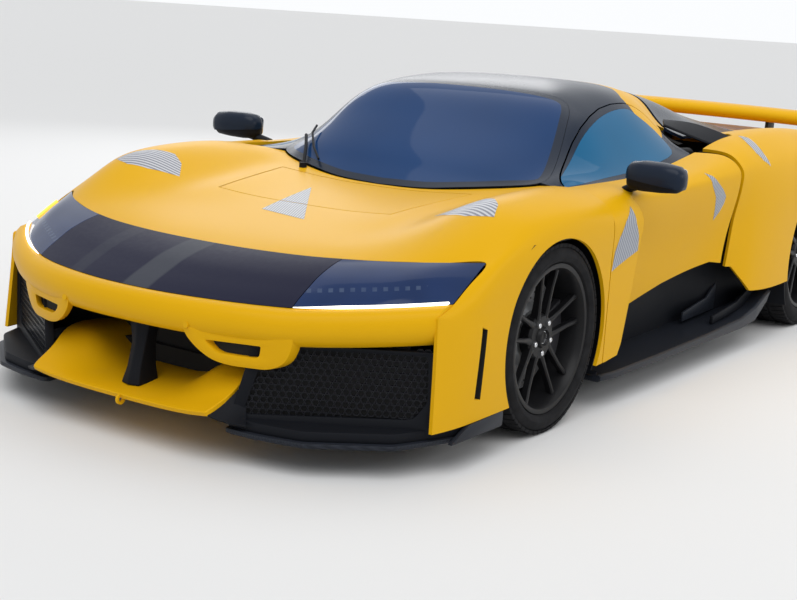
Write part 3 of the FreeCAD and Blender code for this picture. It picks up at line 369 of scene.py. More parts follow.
def chain(bm: BMesh, points: Iterable[Point3], closed: bool = False) -> list[bmesh.types.BMEdge]:
    """A row of vertices joined by edges.

    Args:
        bm: Where it is made.
        points: The row's points.
        closed: Whether the last point joins the first.

    Returns:
        The edges in order.
    """
    verts = [bm.verts.new(p) for p in points]
    edges = [bm.edges.new(pair) for pair in zip(verts, verts[1:])]
    if closed:
        edges.append(bm.edges.new((verts[-1], verts[0])))
    return edges


def loft(rows: Sequence[Sequence[Point3]], closed: bool = False) -> BMesh:
    """Bridges rows of points into a skin.

    Args:
        rows: Each row has the same number of points.
        closed: Whether each row is a ring.

    Returns:
        The skin.
    """
    bm = bmesh.new()
    chains = [chain(bm, row, closed) for row in rows]
    for first, second in zip(chains, chains[1:]):
        bmesh.ops.bridge_loops(bm, edges=first + second)
    return bm


def smooth_skin(
    rows: Sequence[Sequence[Point3]], creases: dict[int, float] | None = None, levels: int = 3, rounds: int = 6
) -> BMesh:
    """A smooth skin that passes through a coarse net of points.

    The net is bridged and subdivided. Its points are then moved by what the smooth skin misses them by,
    until the skin goes through every one.

    Args:
        rows: The net, row by row.
        creases: How sharp the line through a column is, from 0 to 1.
        levels: Subdivision levels.
        rounds: How often the net is corrected.

    Returns:
        The dense skin.
    """
    targets = [Vector(p) for row in rows for p in row]
    net = [p.copy() for p in targets]
    width = len(rows[0])
    for turn in range(rounds + 1):
        grid = [net[i * width : (i + 1) * width] for i in range(len(rows))]
        bm = loft(grid)
        layer = bm.edges.layers.float.new("crease_edge")
        bm.verts.ensure_lookup_table()
        for edge in bm.edges:
            a, b = sorted(v.index for v in edge.verts)
            if creases and b - a == width and a % width in creases:
                edge[layer] = creases[a % width]
        thing = drop(bm, "net", [])
        divide = thing.modifiers.new("divide", "SUBSURF")
        divide.levels = divide.render_levels = levels if turn == rounds else 2
        divide.boundary_smooth = "PRESERVE_CORNERS"
        dense = baked(thing)
        if turn < rounds:
            dense.verts.ensure_lookup_table()
            for i, target in enumerate(targets):
                net[i] += (target - dense.verts[i].co) * 0.9
            dense.free()
    bmesh.ops.recalc_face_normals(dense, faces=dense.faces)
    return dense


def face_out(bm: BMesh, towards: Vector, fan: float = 0.0) -> BMesh:
    """Turns an open skin so that its faces look away from what is inside.

    Args:
        bm: The skin.
        towards: A direction that points outwards.
        fan: How much the direction leans to the side, for each metre off the car's middle.

    Returns:
        The same skin.
    """
    score = 0.0
    for face in bm.faces:
        lean = ACROSS * (face.calc_center_median().x * fan)
        score += face.normal.dot(towards + lean) * face.calc_area()
    if score < 0:
        bmesh.ops.reverse_faces(bm, faces=bm.faces)
    return bm


def capped(bm: BMesh) -> BMesh:
    """Closes a mesh's open ends and turns its faces outwards."""
    bmesh.ops.holes_fill(bm, edges=[e for e in bm.edges if e.is_boundary], sides=0)
    bmesh.ops.recalc_face_normals(bm, faces=bm.faces)
    return bm


def shifted(bm: BMesh, by: Sequence[float]) -> BMesh:
    """Moves a mesh and gives it back."""
    bmesh.ops.translate(bm, vec=by, verts=bm.verts)
    return bm


def turned(bm: BMesh, angle: float, axis: str | Vector) -> BMesh:
    """Turns a mesh about an axis through the origin and gives it back."""
    bmesh.ops.rotate(bm, cent=(0, 0, 0), matrix=Matrix.Rotation(angle, 3, axis), verts=bm.verts)
    return bm


def pushed(bm: BMesh, by: Vector) -> BMesh:
    """Extrudes all of a mesh's faces by a move and gives the mesh back."""
    made = bmesh.ops.extrude_face_region(bm, geom=list(bm.faces))
    bmesh.ops.translate(bm, vec=by, verts=[part for part in made["geom"] if isinstance(part, bmesh.types.BMVert)])
    return bm


def side_view(points: Iterable[Point2]) -> list[Vector]:
    """Points given as (y, z), as they are seen from the car's side."""
    return [Vector((0, y, z)) for y, z in points]


def top_view(points: Iterable[Point2]) -> list[Vector]:
    """Points given as (x, y), as they are seen from above."""
    return [Vector((x, y, 0)) for x, y in points]


def trimmed(
    bm: BMesh, outline: Sequence[Vector], along: Vector, keep_inside: bool, near: float = REACH
) -> None:
    """Cuts a skin along a closed outline swept in one direction, and removes one side.

    Args:
        bm: The skin.
        outline: The closed outline's points.
        along: The direction in which the outline cuts.
        keep_inside: Whether what lies inside the outline stays.
        near: Only faces this near to a stretch of the outline are split by it.
    """
    along = along.normalized()
    first = (outline[1] - outline[0]) - along * (outline[1] - outline[0]).dot(along)
    u_axis = first.normalized()
    v_axis = along.cross(u_axis)
    flat = [Vector((p.dot(u_axis), p.dot(v_axis))) for p in outline]
    count = len(flat)
    for i in range(count):
        a, b = flat[i], flat[(i + 1) % count]
        run = b - a
        length = run.length
        if length < 1e-6:
            continue
        run /= length
        side = Vector((-run.y, run.x))
        close = []
        for face in bm.faces:
            c = face.calc_center_median()
            p = Vector((c.dot(u_axis), c.dot(v_axis))) - a
            reach = near + math.sqrt(face.calc_area())
            if abs(p.dot(side)) < reach and -reach < p.dot(run) < length + reach:
                close.append(face)
        if not close:
            continue
        geom = set(close)
        for face in close:
            geom.update(face.edges)
            geom.update(face.verts)
        bmesh.ops.bisect_plane(
            bm,
            geom=list(geom),
            dist=1e-6,
            plane_co=u_axis * a.x + v_axis * a.y,
            plane_no=u_axis * side.x + v_axis * side.y,
        )
    gone = []
    for face in bm.faces:
        c = face.calc_center_median()
        if inside(flat, c.dot(u_axis), c.dot(v_axis)) != keep_inside:
            gone.append(face)
    bmesh.ops.delete(bm, geom=gone, context="FACES")


def inside(loop: Sequence[Vector], x: float, y: float) -> bool:
    """Whether a point lies inside a closed flat loop."""
    within = False
    for a, b in zip(loop, list(loop[1:]) + [loop[0]]):
        if (a.y > y) != (b.y > y) and x < a.x + (y - a.y) * (b.x - a.x) / (b.y - a.y):
            within = not within
    return within


def without_disc(bm: BMesh, y: float, z: float, radius: float) -> None:
    """Opens a wheel arch: removes what lies inside a circle seen from the side.

    Args:
        bm: The skin.
        y: The circle's middle along the car.
        z: The circle's middle above the ground.
        radius: The circle's radius.
    """
    angles = [math.tau * i / ARCH_STEPS for i in range(ARCH_STEPS)]
    ring = side_view((y + radius * math.cos(angle), z + radius * math.sin(angle)) for angle in angles)
    trimmed(bm, ring, ACROSS, keep_inside=False, near=FINE_REACH)


def clipped(bm: BMesh, point: Point3, away: Point3) -> None:
    """Cuts a mesh by a plane and removes what lies on the side that a direction points to."""
    geom = list(bm.verts) + list(bm.edges) + list(bm.faces)
    bmesh.ops.bisect_plane(bm, geom=geom, dist=1e-6, plane_co=point, plane_no=away, clear_outer=True)


def walled(thing: bpy.types.Object, wall: float, round_edge: float = 0.0015) -> None:
    """Gives a skin its wall inwards and rounds its rims."""
    thick = thing.modifiers.new("wall", "SOLIDIFY")
    thick.thickness = wall
    thick.offset = -1.0
    thick.use_even_offset = True
    rounded = thing.modifiers.new("rims", "BEVEL")
    rounded.width = round_edge
    rounded.segments = 2
    rounded.limit_method = "ANGLE"
    rounded.angle_limit = math.radians(50)
    rounded.harden_normals = True


def mirrored(bm: BMesh) -> BMesh:
    """A copy of the mesh on the car's other side."""
    other = bm.copy()
    bmesh.ops.scale(other, vec=(-1, 1, 1), verts=other.verts)
    bmesh.ops.reverse_faces(other, faces=other.faces)
    return other


def on_side(bm: BMesh, side: Side) -> BMesh:
    """A copy of a left-hand mesh for a side."""
    return bm.copy() if side is Side.LEFT else mirrored(bm)


def spline(points: Sequence[Sequence[float]], per: int = 8, closed: bool = False) -> list[Vector]:
    """A smooth curve through points.

    Args:
        points: The points that it passes through.
        per: How many pieces each span gets.
        closed: Whether it returns to its start.

    Returns:
        The curve's points.
    """
    pts = [Vector(p) for p in points]
    count = len(pts)
    made = []
    for i in range(count if closed else count - 1):
        if closed:
            p0, p1, p2, p3 = (pts[(i + k) % count] for k in (-1, 0, 1, 2))
        else:
            p1, p2 = pts[i], pts[i + 1]
            p0 = pts[i - 1] if i > 0 else p1 * 2 - p2
            p3 = pts[i + 2] if i + 2 < count else p2 * 2 - p1
        for k in range(per):
            t = k / per
            made.append(
                0.5
                * (
                    2 * p1
                    + (p2 - p0) * t
                    + (2 * p0 - 5 * p1 + 4 * p2 - p3) * t * t
                    + (3 * p1 - p0 - 3 * p2 + p3) * t ** 3
                )
            )
    if not closed:
        made.append(pts[-1])
    return made


def show(thing: bpy.types.Object, body: str, slot: str, *nodes: str) -> None:
    """Hangs a piece on the body that it rides on, hides the CAD nodes that it stands for, and logs it."""
    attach(thing, body)
    if nodes:
        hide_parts(*nodes)
    log.info("%s: %d faces on %s", thing.name, len(thing.data.polygons), body)


# Shapes


def on_plane(axis: str, place: float, a: float, b: float) -> Point3:
    """A flat (a, b) point on a plane square to an axis."""
    return {"x": (place, a, b), "y": (a, place, b), "z": (a, b, place)}[axis]


def softened(bm: BMesh, width: float, segments: int = 2, turn: float = 25.0) -> BMesh:
    """Rounds every edge that turns by more than an angle."""
    limit = math.radians(turn)
    edges = [e for e in bm.edges if len(e.link_faces) == 2 and e.calc_face_angle(0.0) > limit]
    bmesh.ops.bevel(
        bm, geom=edges, offset=width, offset_type="OFFSET", segments=segments, profile=0.5,
        affect="EDGES", material=-1, clamp_overlap=True,
    )
    return bm


def slab(
    outline: Sequence[Point2], low: float, high: float, axis: str = "z", soft: float = 0.003
) -> BMesh:
    """A plate: a flat outline swept along an axis, with rounded edges.

    Args:
        outline: The outline on the plane square to the axis.
        low: Where it starts along the axis.
        high: Where it ends.
        axis: x, y or z.
        soft: How far its edges are rounded.

    Returns:
        The plate.
    """
    bm = bmesh.new()
    bm.faces.new([bm.verts.new(on_plane(axis, low, a, b)) for a, b in outline])
    pushed(bm, AXES[axis] * (high - low))
    bmesh.ops.recalc_face_normals(bm, faces=bm.faces)
    return softened(bm, soft)


def framed(outer: Sequence[Point3], inner: Sequence[Point3], depth: Vector, soft: float = 0.002) -> BMesh:
    """A frame between two outlines with as many points each, given a depth."""
    bm = bmesh.new()
    first, second = chain(bm, outer, True), chain(bm, inner, True)
    bmesh.ops.bridge_loops(bm, edges=first + second)
    pushed(bm, depth)
    bmesh.ops.recalc_face_normals(bm, faces=bm.faces)
    return softened(bm, soft)


def brick(low: Point3, high: Point3, soft: float = 0.003, segments: int = 2) -> BMesh:
    """An upright block between two corners with rounded edges."""
    bm = bmesh.new()
    bmesh.ops.create_cube(bm, size=1.0)
    size = Vector(high) - Vector(low)
    bmesh.ops.scale(bm, vec=size, verts=bm.verts)
    shifted(bm, (Vector(low) + Vector(high)) / 2)
    return softened(bm, soft, segments)


def spun(profile: Sequence[Point2], place: Point3, steps: int = 96) -> BMesh:
    """A closed profile of (along the axle, radius) points, turned about the axle through a place."""
    bm = bmesh.new()
    x, y, z = place
    chain(bm, [(x + along, y, z + radius) for along, radius in profile], True)
    bmesh.ops.spin(
        bm, geom=list(bm.verts) + list(bm.edges), cent=place, axis=(1, 0, 0), angle=math.tau, steps=steps,
        use_merge=True, use_duplicate=False,
    )
    bmesh.ops.recalc_face_normals(bm, faces=bm.faces)
    return bm


def rod(
    start: Point3, end: Point3, radius: float, sides: int = 20, end_radius: float | None = None
) -> BMesh:
    """A round bar between two points."""
    a, b = Vector(start), Vector(end)
    run = b - a
    bm = bmesh.new()
    bmesh.ops.create_cone(
        bm, cap_ends=True, cap_tris=False, segments=sides, radius1=radius,
        radius2=radius if end_radius is None else end_radius, depth=run.length,
    )
    turn = run.to_track_quat("Z", "Y").to_matrix().to_4x4()
    bmesh.ops.transform(bm, matrix=Matrix.Translation((a + b) / 2) @ turn, verts=bm.verts)
    return bm


def pipe(points: Iterable[Point3], radius: float, sides: int = 14) -> BMesh:
    """A round bar that follows points, closed at its ends."""
    points = [Vector(point) for point in points]
    rings = []
    for i, point in enumerate(points):
        run = (points[min(i + 1, len(points) - 1)] - points[max(i - 1, 0)]).normalized()
        u = run.cross(UP if abs(run.z) < 0.9 else ACROSS).normalized()
        v = run.cross(u)
        angles = [math.tau * k / sides for k in range(sides)]
        rings.append([point + (u * math.cos(angle) + v * math.sin(angle)) * radius for angle in angles])
    return capped(loft(rings, True))


def merged(parts: Sequence[BMesh]) -> BMesh:
    """Several meshes as one; the parts are freed."""
    whole = bmesh.new()
    for part in parts:
        mesh = bpy.data.meshes.new("part")
        part.to_mesh(mesh)
        part.free()
        whole.from_mesh(mesh)
        bpy.data.meshes.remove(mesh)
    return whole


def pocket(skin: BMesh, outline: Sequence[Vector], along: Vector, deep: float) -> BMesh:
    """The walls and floor of a recess in a skin.

    Args:
        skin: The skin, which stays as it is.
        outline: The recess's outline.
        along: The direction in which the outline cuts, outwards.
        deep: How far the floor lies under the skin.

    Returns:
        The recess, open towards the outside.
    """
    bm = skin.copy()
    trimmed(bm, outline, along, True, FINE_REACH)
    mouth = list(bm.faces)
    pushed(bm, along.normalized() * -deep)
    bmesh.ops.delete(bm, geom=[face for face in mouth if face.is_valid], context="FACES_ONLY")
    bmesh.ops.recalc_face_normals(bm, faces=bm.faces)
    return face_out(bm, along)


def hexagon(radius: float, rim: float) -> BMesh:
    """A flat six-sided ring about the origin, one cell of a mesh grille."""
    cell = bmesh.new()
    bmesh.ops.create_circle(cell, cap_ends=True, segments=6, radius=radius)
    bmesh.ops.inset_region(
        cell, faces=list(cell.faces), thickness=rim, depth=0.0, use_even_offset=True, use_boundary=True
    )
    middle = min(cell.faces, key=lambda f: f.calc_center_median().length)
    bmesh.ops.delete(cell, geom=[middle], context="FACES_ONLY")
    return cell


def round_corners(outline: Sequence[Point2], radius: float, per: int = 4) -> list[Point2]:
    """A flat closed outline with its corners cut by arcs."""
    made = []
    count = len(outline)
    for i in range(count):
        here = Vector(outline[i])
        before, after = Vector(outline[i - 1]), Vector(outline[(i + 1) % count])
        reach = min(radius, (before - here).length * 0.45, (after - here).length * 0.45)
        start = here + (before - here).normalized() * reach
        end = here + (after - here).normalized() * reach
        for k in range(per + 1):
            t = k / per
            point = start * (1 - t) ** 2 + here * 2 * t * (1 - t) + end * t * t
            made.append((point.x, point.y))
    return made


# Finishes


@dataclass(frozen=True)
class Paint(Finish):
    """Body paint: broad patches, fine flakes that break the gloss, and road dust low down."""

    dust: float = 0.25
    road: Colour = (0.30, 0.24, 0.13)

    def dress(self, shader: Shader) -> None:
        """Shades the colour by broad patches and greys it near the road."""
        _, _, z = shader.axes()
        patches = shader.noise(2.2, 2.0)
        flakes = shader.noise(900.0, 1.0)
        tint = (patches - 0.5) * 0.16 + (flakes - 0.5) * 0.10 + 0.5
        shade = shader.blend(tint, self.toned(0.88), self.toned(1.08))
        low = shader.noise(11.0, 4.0) * 0.9 - z * 2.6
        low = low.maths("MAXIMUM", low, 0.0) * self.dust
        shader.coat(
            base_colour=shader.blend(low, shade, self.road),
            roughness=self.roughness + low * 0.6 + (flakes - 0.5) * 0.05,
        )


@dataclass(frozen=True)
class Striped(Finish):
    """A dark panel with painted reflections: lighter bands that run along the car."""

    stripe: Colour = (0.06, 0.065, 0.08)
    places: tuple[Point3, ...] = ()

    def dress(self, shader: Shader) -> None:
        """Paints a soft-edged reflection band at each place across the car."""
        x, _, _ = shader.axes()
        reflection_mask = None
        # Each band is a painted reflection; a place gives its middle, half width and strength
        for middle, half, depth in self.places:
            band = ((x - middle).size() * -1 + half) * 90
            band = band.maths("MINIMUM", band.maths("MAXIMUM", band, 0.0), 1.0) * depth
            reflection_mask = band if reflection_mask is None else reflection_mask.maths("MAXIMUM", reflection_mask, band)
        grain = shader.noise(60.0, 3.0)
        shader.coat(
            base_colour=shader.blend(reflection_mask, self.colour, self.stripe),
            roughness=self.roughness + (grain - 0.5) * 0.12 + reflection_mask * 0.06,
        )


@dataclass(frozen=True)
class Tinted(Finish):
    """Window glass: dark and smooth; its blue is partly tint and partly a painted sky reflection, and it is faintly
    uneven.
    """

    def dress(self, shader: Shader) -> None:
        """Lets the colour, tint and painted sky reflection together, grow lighter in broad, faint clouds."""
        shader.coat(base_colour=shader.blend(shader.noise(1.6, 2.0), self.colour, self.toned(1.7)))


@dataclass(frozen=True)
class Lens(Finish):
    """A headlamp's lens with a row of pale cells that show faintly through it."""

    cell: float = 0.034
    glow: Colour = (0.10, 0.14, 0.22)

    def dress(self, shader: Shader) -> None:
        """Draws the cells in a line above the lamp's lower edge."""
        x, y, z = shader.axes()
        away = x.size()
        height = z - away * 0.105
        row = (height > 0.490) * (height < 0.501)
        cells = row * ((away * 0.8 + y * 0.6).repeat(self.cell) < 0.42) * (away < 0.86)
        glow = cells * (shader.noise(30.0, 1.0) * 0.5 + 0.1)
        shade = shader.blend(shader.noise(5.0, 2.0), self.colour, self.toned(2.2))
        shader.coat(base_colour=shader.blend(glow, shade, self.glow))


@dataclass(frozen=True)
class Rubber(Finish):
    """Tyre rubber with a fine grain and a little dust."""

    def dress(self, shader: Shader) -> None:
        """Greys the rubber unevenly."""
        dust = shader.noise(26.0, 4.0)
        fine = shader.noise(700.0, 2.0)
        shader.coat(
            base_colour=shader.blend((dust - 0.3) * 0.9, self.colour, self.toned(2.6, 0.01)),
            roughness=self.roughness + (dust - 0.5) * 0.15,
        )
        shader.bump(fine + dust * 0.5, 0.12, 0.0006)


@dataclass(frozen=True)
class Stitched(Finish):
    """Seat cloth: a fine weave of darker and lighter threads."""

    thread: float = 0.0035

    def dress(self, shader: Shader) -> None:
        """Weaves two directions of thread."""
        x, y, z = shader.axes()
        warp = (x.repeat(self.thread) - 0.5).size()
        weft = ((y + z).repeat(self.thread) - 0.5).size()
        weave = warp + weft
        shader.coat(base_colour=shader.blend(weave * 0.7, self.colour, self.toned(2.2, 0.01)))
        shader.bump(weave, 0.35, 0.0008)


def film(name: str, colour: Colour, bar: Colour, along: Point3, period: float) -> Hatched:
    """A hatched film on the paint."""
    return Hatched(name, "body_paint", colour, 0.42, bar=bar, along=along, period=period)


def lit(name: str, colour: Colour, glow: Colour, strength: float) -> Finish:
    """A lamp part that glows."""
    extra = (("Emission Color", (*glow, 1)), ("Emission Strength", strength))
    return Finish(name, "lamp_lens", colour, 0.3, mottle=0.05, extra=extra)


SATIN = (("IOR", 1.2), ("Specular IOR Level", 0.4))
GLASS = (("IOR", 1.28), ("Specular IOR Level", 0.4))
FINISHES = (
    Paint("yellow_paint", "body_paint", (0.74, 0.40, 0.004), 0.36, coat_roughness=0.12, extra=SATIN, dust=0.12),
    Finish(
        "black_trim", "black_trim", (0.008, 0.009, 0.012), 0.50, grain=0.35, grain_scale=260.0, mottle=0.15,
        extra=SATIN,
    ),
    # The visor's lighter bands are painted reflections, stronger in the middle than on the right
    Striped(
        "visor_film", "visor_black", (0.014, 0.015, 0.034), 0.46, extra=SATIN,
        places=((0.020, 0.060, 0.8), (-0.280, 0.040, 0.3)),
    ),
    Lens("lamp_lens", "lamp_lens", (0.007, 0.018, 0.060), 0.08, extra=GLASS),
    Woven("carbon", "carbon", (0.010, 0.012, 0.017), 0.34, extra=GLASS),
    Finish("mesh_black", "mesh", (0.014, 0.015, 0.019), 0.30, mottle=0.1, extra=GLASS),
    # The glass colours hold a painted sky reflection as well as the tint
    Tinted("screen_glass", "screen_glass", (0.009, 0.034, 0.105), 0.05, extra=SATIN),
    Tinted("side_glass", "side_glass", (0.010, 0.090, 0.190), 0.05, extra=SATIN),
    Finish("roof_gloss", "roof_black", (0.009, 0.016, 0.032), 0.26, mottle=0.1, extra=GLASS),
    Finish("tail_lamp_red", "tail_lamp", (0.30, 0.008, 0.010), 0.18, coat=0.8, mottle=0.1),
    Finish("steel", "steel", (0.33, 0.33, 0.34), 0.36, 0.9, grain=0.15, grain_scale=500.0, mottle=0.2),
    Finish("alloy", "alloy", (0.24, 0.245, 0.25), 0.48, 0.8, grain=0.3, grain_scale=220.0, mottle=0.2),
    Finish("bolt_silver", "steel", (0.62, 0.63, 0.65), 0.25, 0.95, mottle=0.15),
    Finish("wheel_black", "wheel_black", (0.009, 0.009, 0.010), 0.34, mottle=0.12, extra=GLASS),
    Rubber("tyre_rubber", "tyre_rubber", (0.010, 0.010, 0.011), 0.78, extra=SATIN),
    Finish("disc_grey", "disc_grey", (0.16, 0.16, 0.165), 0.40, 0.7, mottle=0.2),
    Finish("caliper_dark", "alloy", (0.030, 0.030, 0.034), 0.38, coat=0.4, mottle=0.1),
    Stitched("seat_cloth", "seat_cloth", (0.022, 0.021, 0.022), 0.86),
    Finish("cabin_trim", "cabin_trim", (0.018, 0.018, 0.020), 0.72, grain=0.5, grain_scale=180.0, mottle=0.15),
    Woven("tub_carbon", "tub_carbon", (0.014, 0.015, 0.018), 0.38, coat=0.2),
    lit("lamp_white", (0.9, 0.9, 0.86), (1.0, 0.97, 0.88), 1.6),
    lit("lamp_amber", (0.9, 0.55, 0.05), (1.0, 0.62, 0.08), 1.2),
    Finish("lamp_chrome", "lamp_lens", (0.35, 0.37, 0.42), 0.22, 0.9, mottle=0.2),
    # Near-black matte that paints the shade in holes, gaps, wells, recesses and under the body
    Finish("dark_gap", "black_trim", (0.004, 0.004, 0.004), 0.9, mottle=0.05),
    film("film_bonnet", (0.20, 0.21, 0.24), (0.50, 0.51, 0.53), (1.0, 0.42, 0.0), 0.011),
    film("film_left", (0.17, 0.18, 0.22), (0.52, 0.53, 0.56), (0.35, 1.0, 0.0), 0.018),
    film("film_right", (0.17, 0.18, 0.22), (0.52, 0.53, 0.56), (-0.35, 1.0, 0.0), 0.018),
    film("film_side", (0.16, 0.18, 0.22), (0.40, 0.42, 0.47), (0.0, 1.0, -0.35), 0.016),
)


class Paintbox:
    """Every finish, built once and handed out by name."""

    def __init__(self) -> None:
        """Builds all the finishes."""
        self.finishes = {finish.name: finish for finish in FINISHES}
        self.materials = {name: finish.make() for name, finish in self.finishes.items()}

    def __getitem__(self, name: str) -> bpy.types.Material:
        """A material by its finish's name."""
        return self.materials[name]

    def dress(self, node: str, name: str) -> None:
        """Puts a finish on every slot of a CAD node that stays in view."""
        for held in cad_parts[node].material_slots:
            held.material = self.materials[name]

    def place(
        self, bm: BMesh, label: str, finish: str, body: str = "chassis", nodes: Sequence[str] = (),
        sharp: float = 40.0, wall: float = 0.0, rims: float = 0.0015
    ) -> None:
        """Makes a mesh into a piece of the car.

        Args:
            bm: The mesh, which is used up.
            label: The piece's name.
            finish: Its finish.
            body: The body that it rides on.
            nodes: The CAD nodes that it stands for.
            sharp: Edges over this angle stay sharp.
            wall: The wall that a skin gets inwards, if any.
            rims: How far the wall's rims are rounded.
        """
        thing = drop(bm, label, [self.materials[finish]], sharp)
        show(thing, body, self.finishes[finish].slot, *nodes)
        if wall:
            walled(thing, wall, rims)

    def pair(
        self, bm: BMesh, label: str, finish: str, nodes: Sequence[str], body: str = "chassis", wall: float = 0.0,
        sharp: float = 40.0
    ) -> None:
        """Makes a left-hand mesh and its mirror image into two pieces.

        Args:
            bm: The left-hand mesh, which is used up.
            label: The pieces' name without the side.
            finish: Their finish.
            nodes: The CAD nodes, where SIDE stands for the side.
            body: The body that they ride on, likewise.
            wall: The wall that a skin gets inwards, if any.
            sharp: Edges over this angle stay sharp.
        """
        for side, mesh in zip(Side, (bm, mirrored(bm))):
            stands_for = [node.replace("SIDE", side.word) for node in nodes]
            self.place(
                mesh, f"{label}_{side.word}", finish, body.replace("SIDE", side.word), stands_for, sharp, wall
            )


# Body surfaces


def both(half: Sequence[Point3]) -> list[Point3]:
    """A half row from the centre line outwards, continued over the car's other side."""
    return [(-x, y, z) for x, y, z in half[:0:-1]] + list(half)


def at(y: float, *points: Point2) -> list[Point3]:
    """A row of (x, z) points at one place along the car."""
    return [(x, y, z) for x, z in points]


FRONT_NET = (
    [
        (0, -2.033, 0.622), (0.22, -2.027, 0.6235), (0.42, -1.998, 0.627), (0.545, -1.965, 0.632),
        (0.66, -1.92, 0.637), (0.77, -1.862, 0.643), (0.865, -1.796, 0.649), (0.942, -1.727, 0.652),
        (0.95, -1.822, 0.6), (0.951, -1.926, 0.541), (0.953, -2.002, 0.516), (0.956, -2.012, 0.452),
        (0.972, -2.03, 0.15),
    ],
    [
        (0, -1.9, 0.648), (0.22, -1.895, 0.649), (0.42, -1.875, 0.653), (0.545, -1.85, 0.659), (0.66, -1.81, 0.672),
        (0.77, -1.765, 0.692), (0.87, -1.712, 0.699), (0.948, -1.655, 0.686), (0.975, -1.735, 0.622),
        (0.981, -1.83, 0.54), (0.982, -1.849, 0.491), (0.985, -1.885, 0.4), (0.989, -1.9, 0.15),
    ],
    [
        (0, -1.7, 0.676), (0.22, -1.7, 0.677), (0.42, -1.69, 0.682), (0.545, -1.675, 0.693), (0.66, -1.65, 0.725),
        (0.77, -1.62, 0.76), (0.87, -1.59, 0.764), (0.95, -1.56, 0.728), (0.984, -1.61, 0.66), (0.992, -1.69, 0.56),
        (0.993, -1.708, 0.504), (0.996, -1.74, 0.4), (0.998, -1.75, 0.155),
    ],
    [
        (0, -1.5, 0.702), (0.22, -1.5, 0.704), (0.42, -1.5, 0.716), (0.545, -1.5, 0.722), (0.66, -1.485, 0.768),
        (0.77, -1.47, 0.808), (0.87, -1.455, 0.806), (0.95, -1.44, 0.768), (0.992, -1.45, 0.7), (1.0, -1.5, 0.58),
        (1.0, -1.507, 0.517), (1.001, -1.52, 0.4), (1.001, -1.52, 0.16),
    ],
    [
        (0, -1.25, 0.726), (0.22, -1.25, 0.729), (0.435, -1.25, 0.744), (0.55, -1.25, 0.748),
        (0.665, -1.245, 0.792), (0.775, -1.24, 0.828), (0.87, -1.235, 0.826), (0.948, -1.23, 0.795),
        (0.998, -1.23, 0.735), (1.006, -1.25, 0.6), (1.006, -1.25, 0.53), (1.005, -1.25, 0.4), (1.003, -1.25, 0.17),
    ],
    [
        (0, -1.05, 0.74), (0.22, -1.05, 0.744), (0.455, -1.05, 0.762), (0.57, -1.05, 0.768), (0.68, -1.05, 0.804),
        (0.785, -1.05, 0.831), (0.872, -1.05, 0.827), (0.946, -1.05, 0.797), (0.999, -1.05, 0.735),
        (1.005, -1.05, 0.6), (1.005, -1.05, 0.53), (1.004, -1.05, 0.4), (1.003, -1.05, 0.185),
    ],
    [
        (0, -0.92, 0.758), (0.22, -0.92, 0.76), (0.47, -0.92, 0.776), (0.6, -0.92, 0.789), (0.7, -0.92, 0.812),
        (0.79, -0.92, 0.824), (0.872, -0.92, 0.82), (0.943, -0.92, 0.791), (0.998, -0.92, 0.728),
        (1.003, -0.92, 0.6), (1.003, -0.92, 0.53), (1.003, -0.92, 0.4), (1.003, -0.92, 0.195),
    ],
    [
        (0, -0.76, 0.785), (0.22, -0.76, 0.786), (0.48, -0.76, 0.795), (0.62, -0.76, 0.803), (0.715, -0.76, 0.814),
        (0.8, -0.76, 0.818), (0.872, -0.76, 0.813), (0.94, -0.76, 0.784), (0.996, -0.76, 0.72), (1.003, -0.76, 0.6),
        (1.003, -0.76, 0.53), (1.003, -0.76, 0.4), (1.003, -0.76, 0.2),
    ],
)
DOOR_NET = (
    at(
        -0.915, (0.79, 0.822), (0.85, 0.819), (0.90, 0.806), (0.938, 0.784), (0.935, 0.71), (0.892, 0.60),
        (0.872, 0.42), (0.862, 0.20),
    ),
    at(
        -0.685, (0.785, 0.820), (0.86, 0.815), (0.91, 0.803), (0.940, 0.780), (0.925, 0.70), (0.890, 0.60),
        (0.872, 0.42), (0.864, 0.25),
    ),
    at(
        -0.400, (0.785, 0.822), (0.87, 0.816), (0.92, 0.803), (0.946, 0.776), (0.925, 0.68), (0.887, 0.56),
        (0.872, 0.42), (0.862, 0.262),
    ),
    at(
        -0.160, (0.785, 0.835), (0.88, 0.830), (0.928, 0.815), (0.951, 0.784), (0.932, 0.69), (0.894, 0.56),
        (0.878, 0.42), (0.867, 0.28),
    ),
    at(
        0.060, (0.783, 0.860), (0.888, 0.852), (0.938, 0.832), (0.961, 0.796), (0.945, 0.70), (0.911, 0.58),
        (0.888, 0.44), (0.882, 0.30),
    ),
    at(
        0.260, (0.780, 0.888), (0.888, 0.880), (0.945, 0.852), (0.970, 0.810), (0.962, 0.72), (0.935, 0.60),
        (0.915, 0.48), (0.908, 0.35),
    ),
    at(
        0.460, (0.776, 0.914), (0.872, 0.914), (0.943, 0.880), (0.979, 0.828), (0.981, 0.74), (0.970, 0.62),
        (0.962, 0.50), (0.955, 0.39),
    ),
)
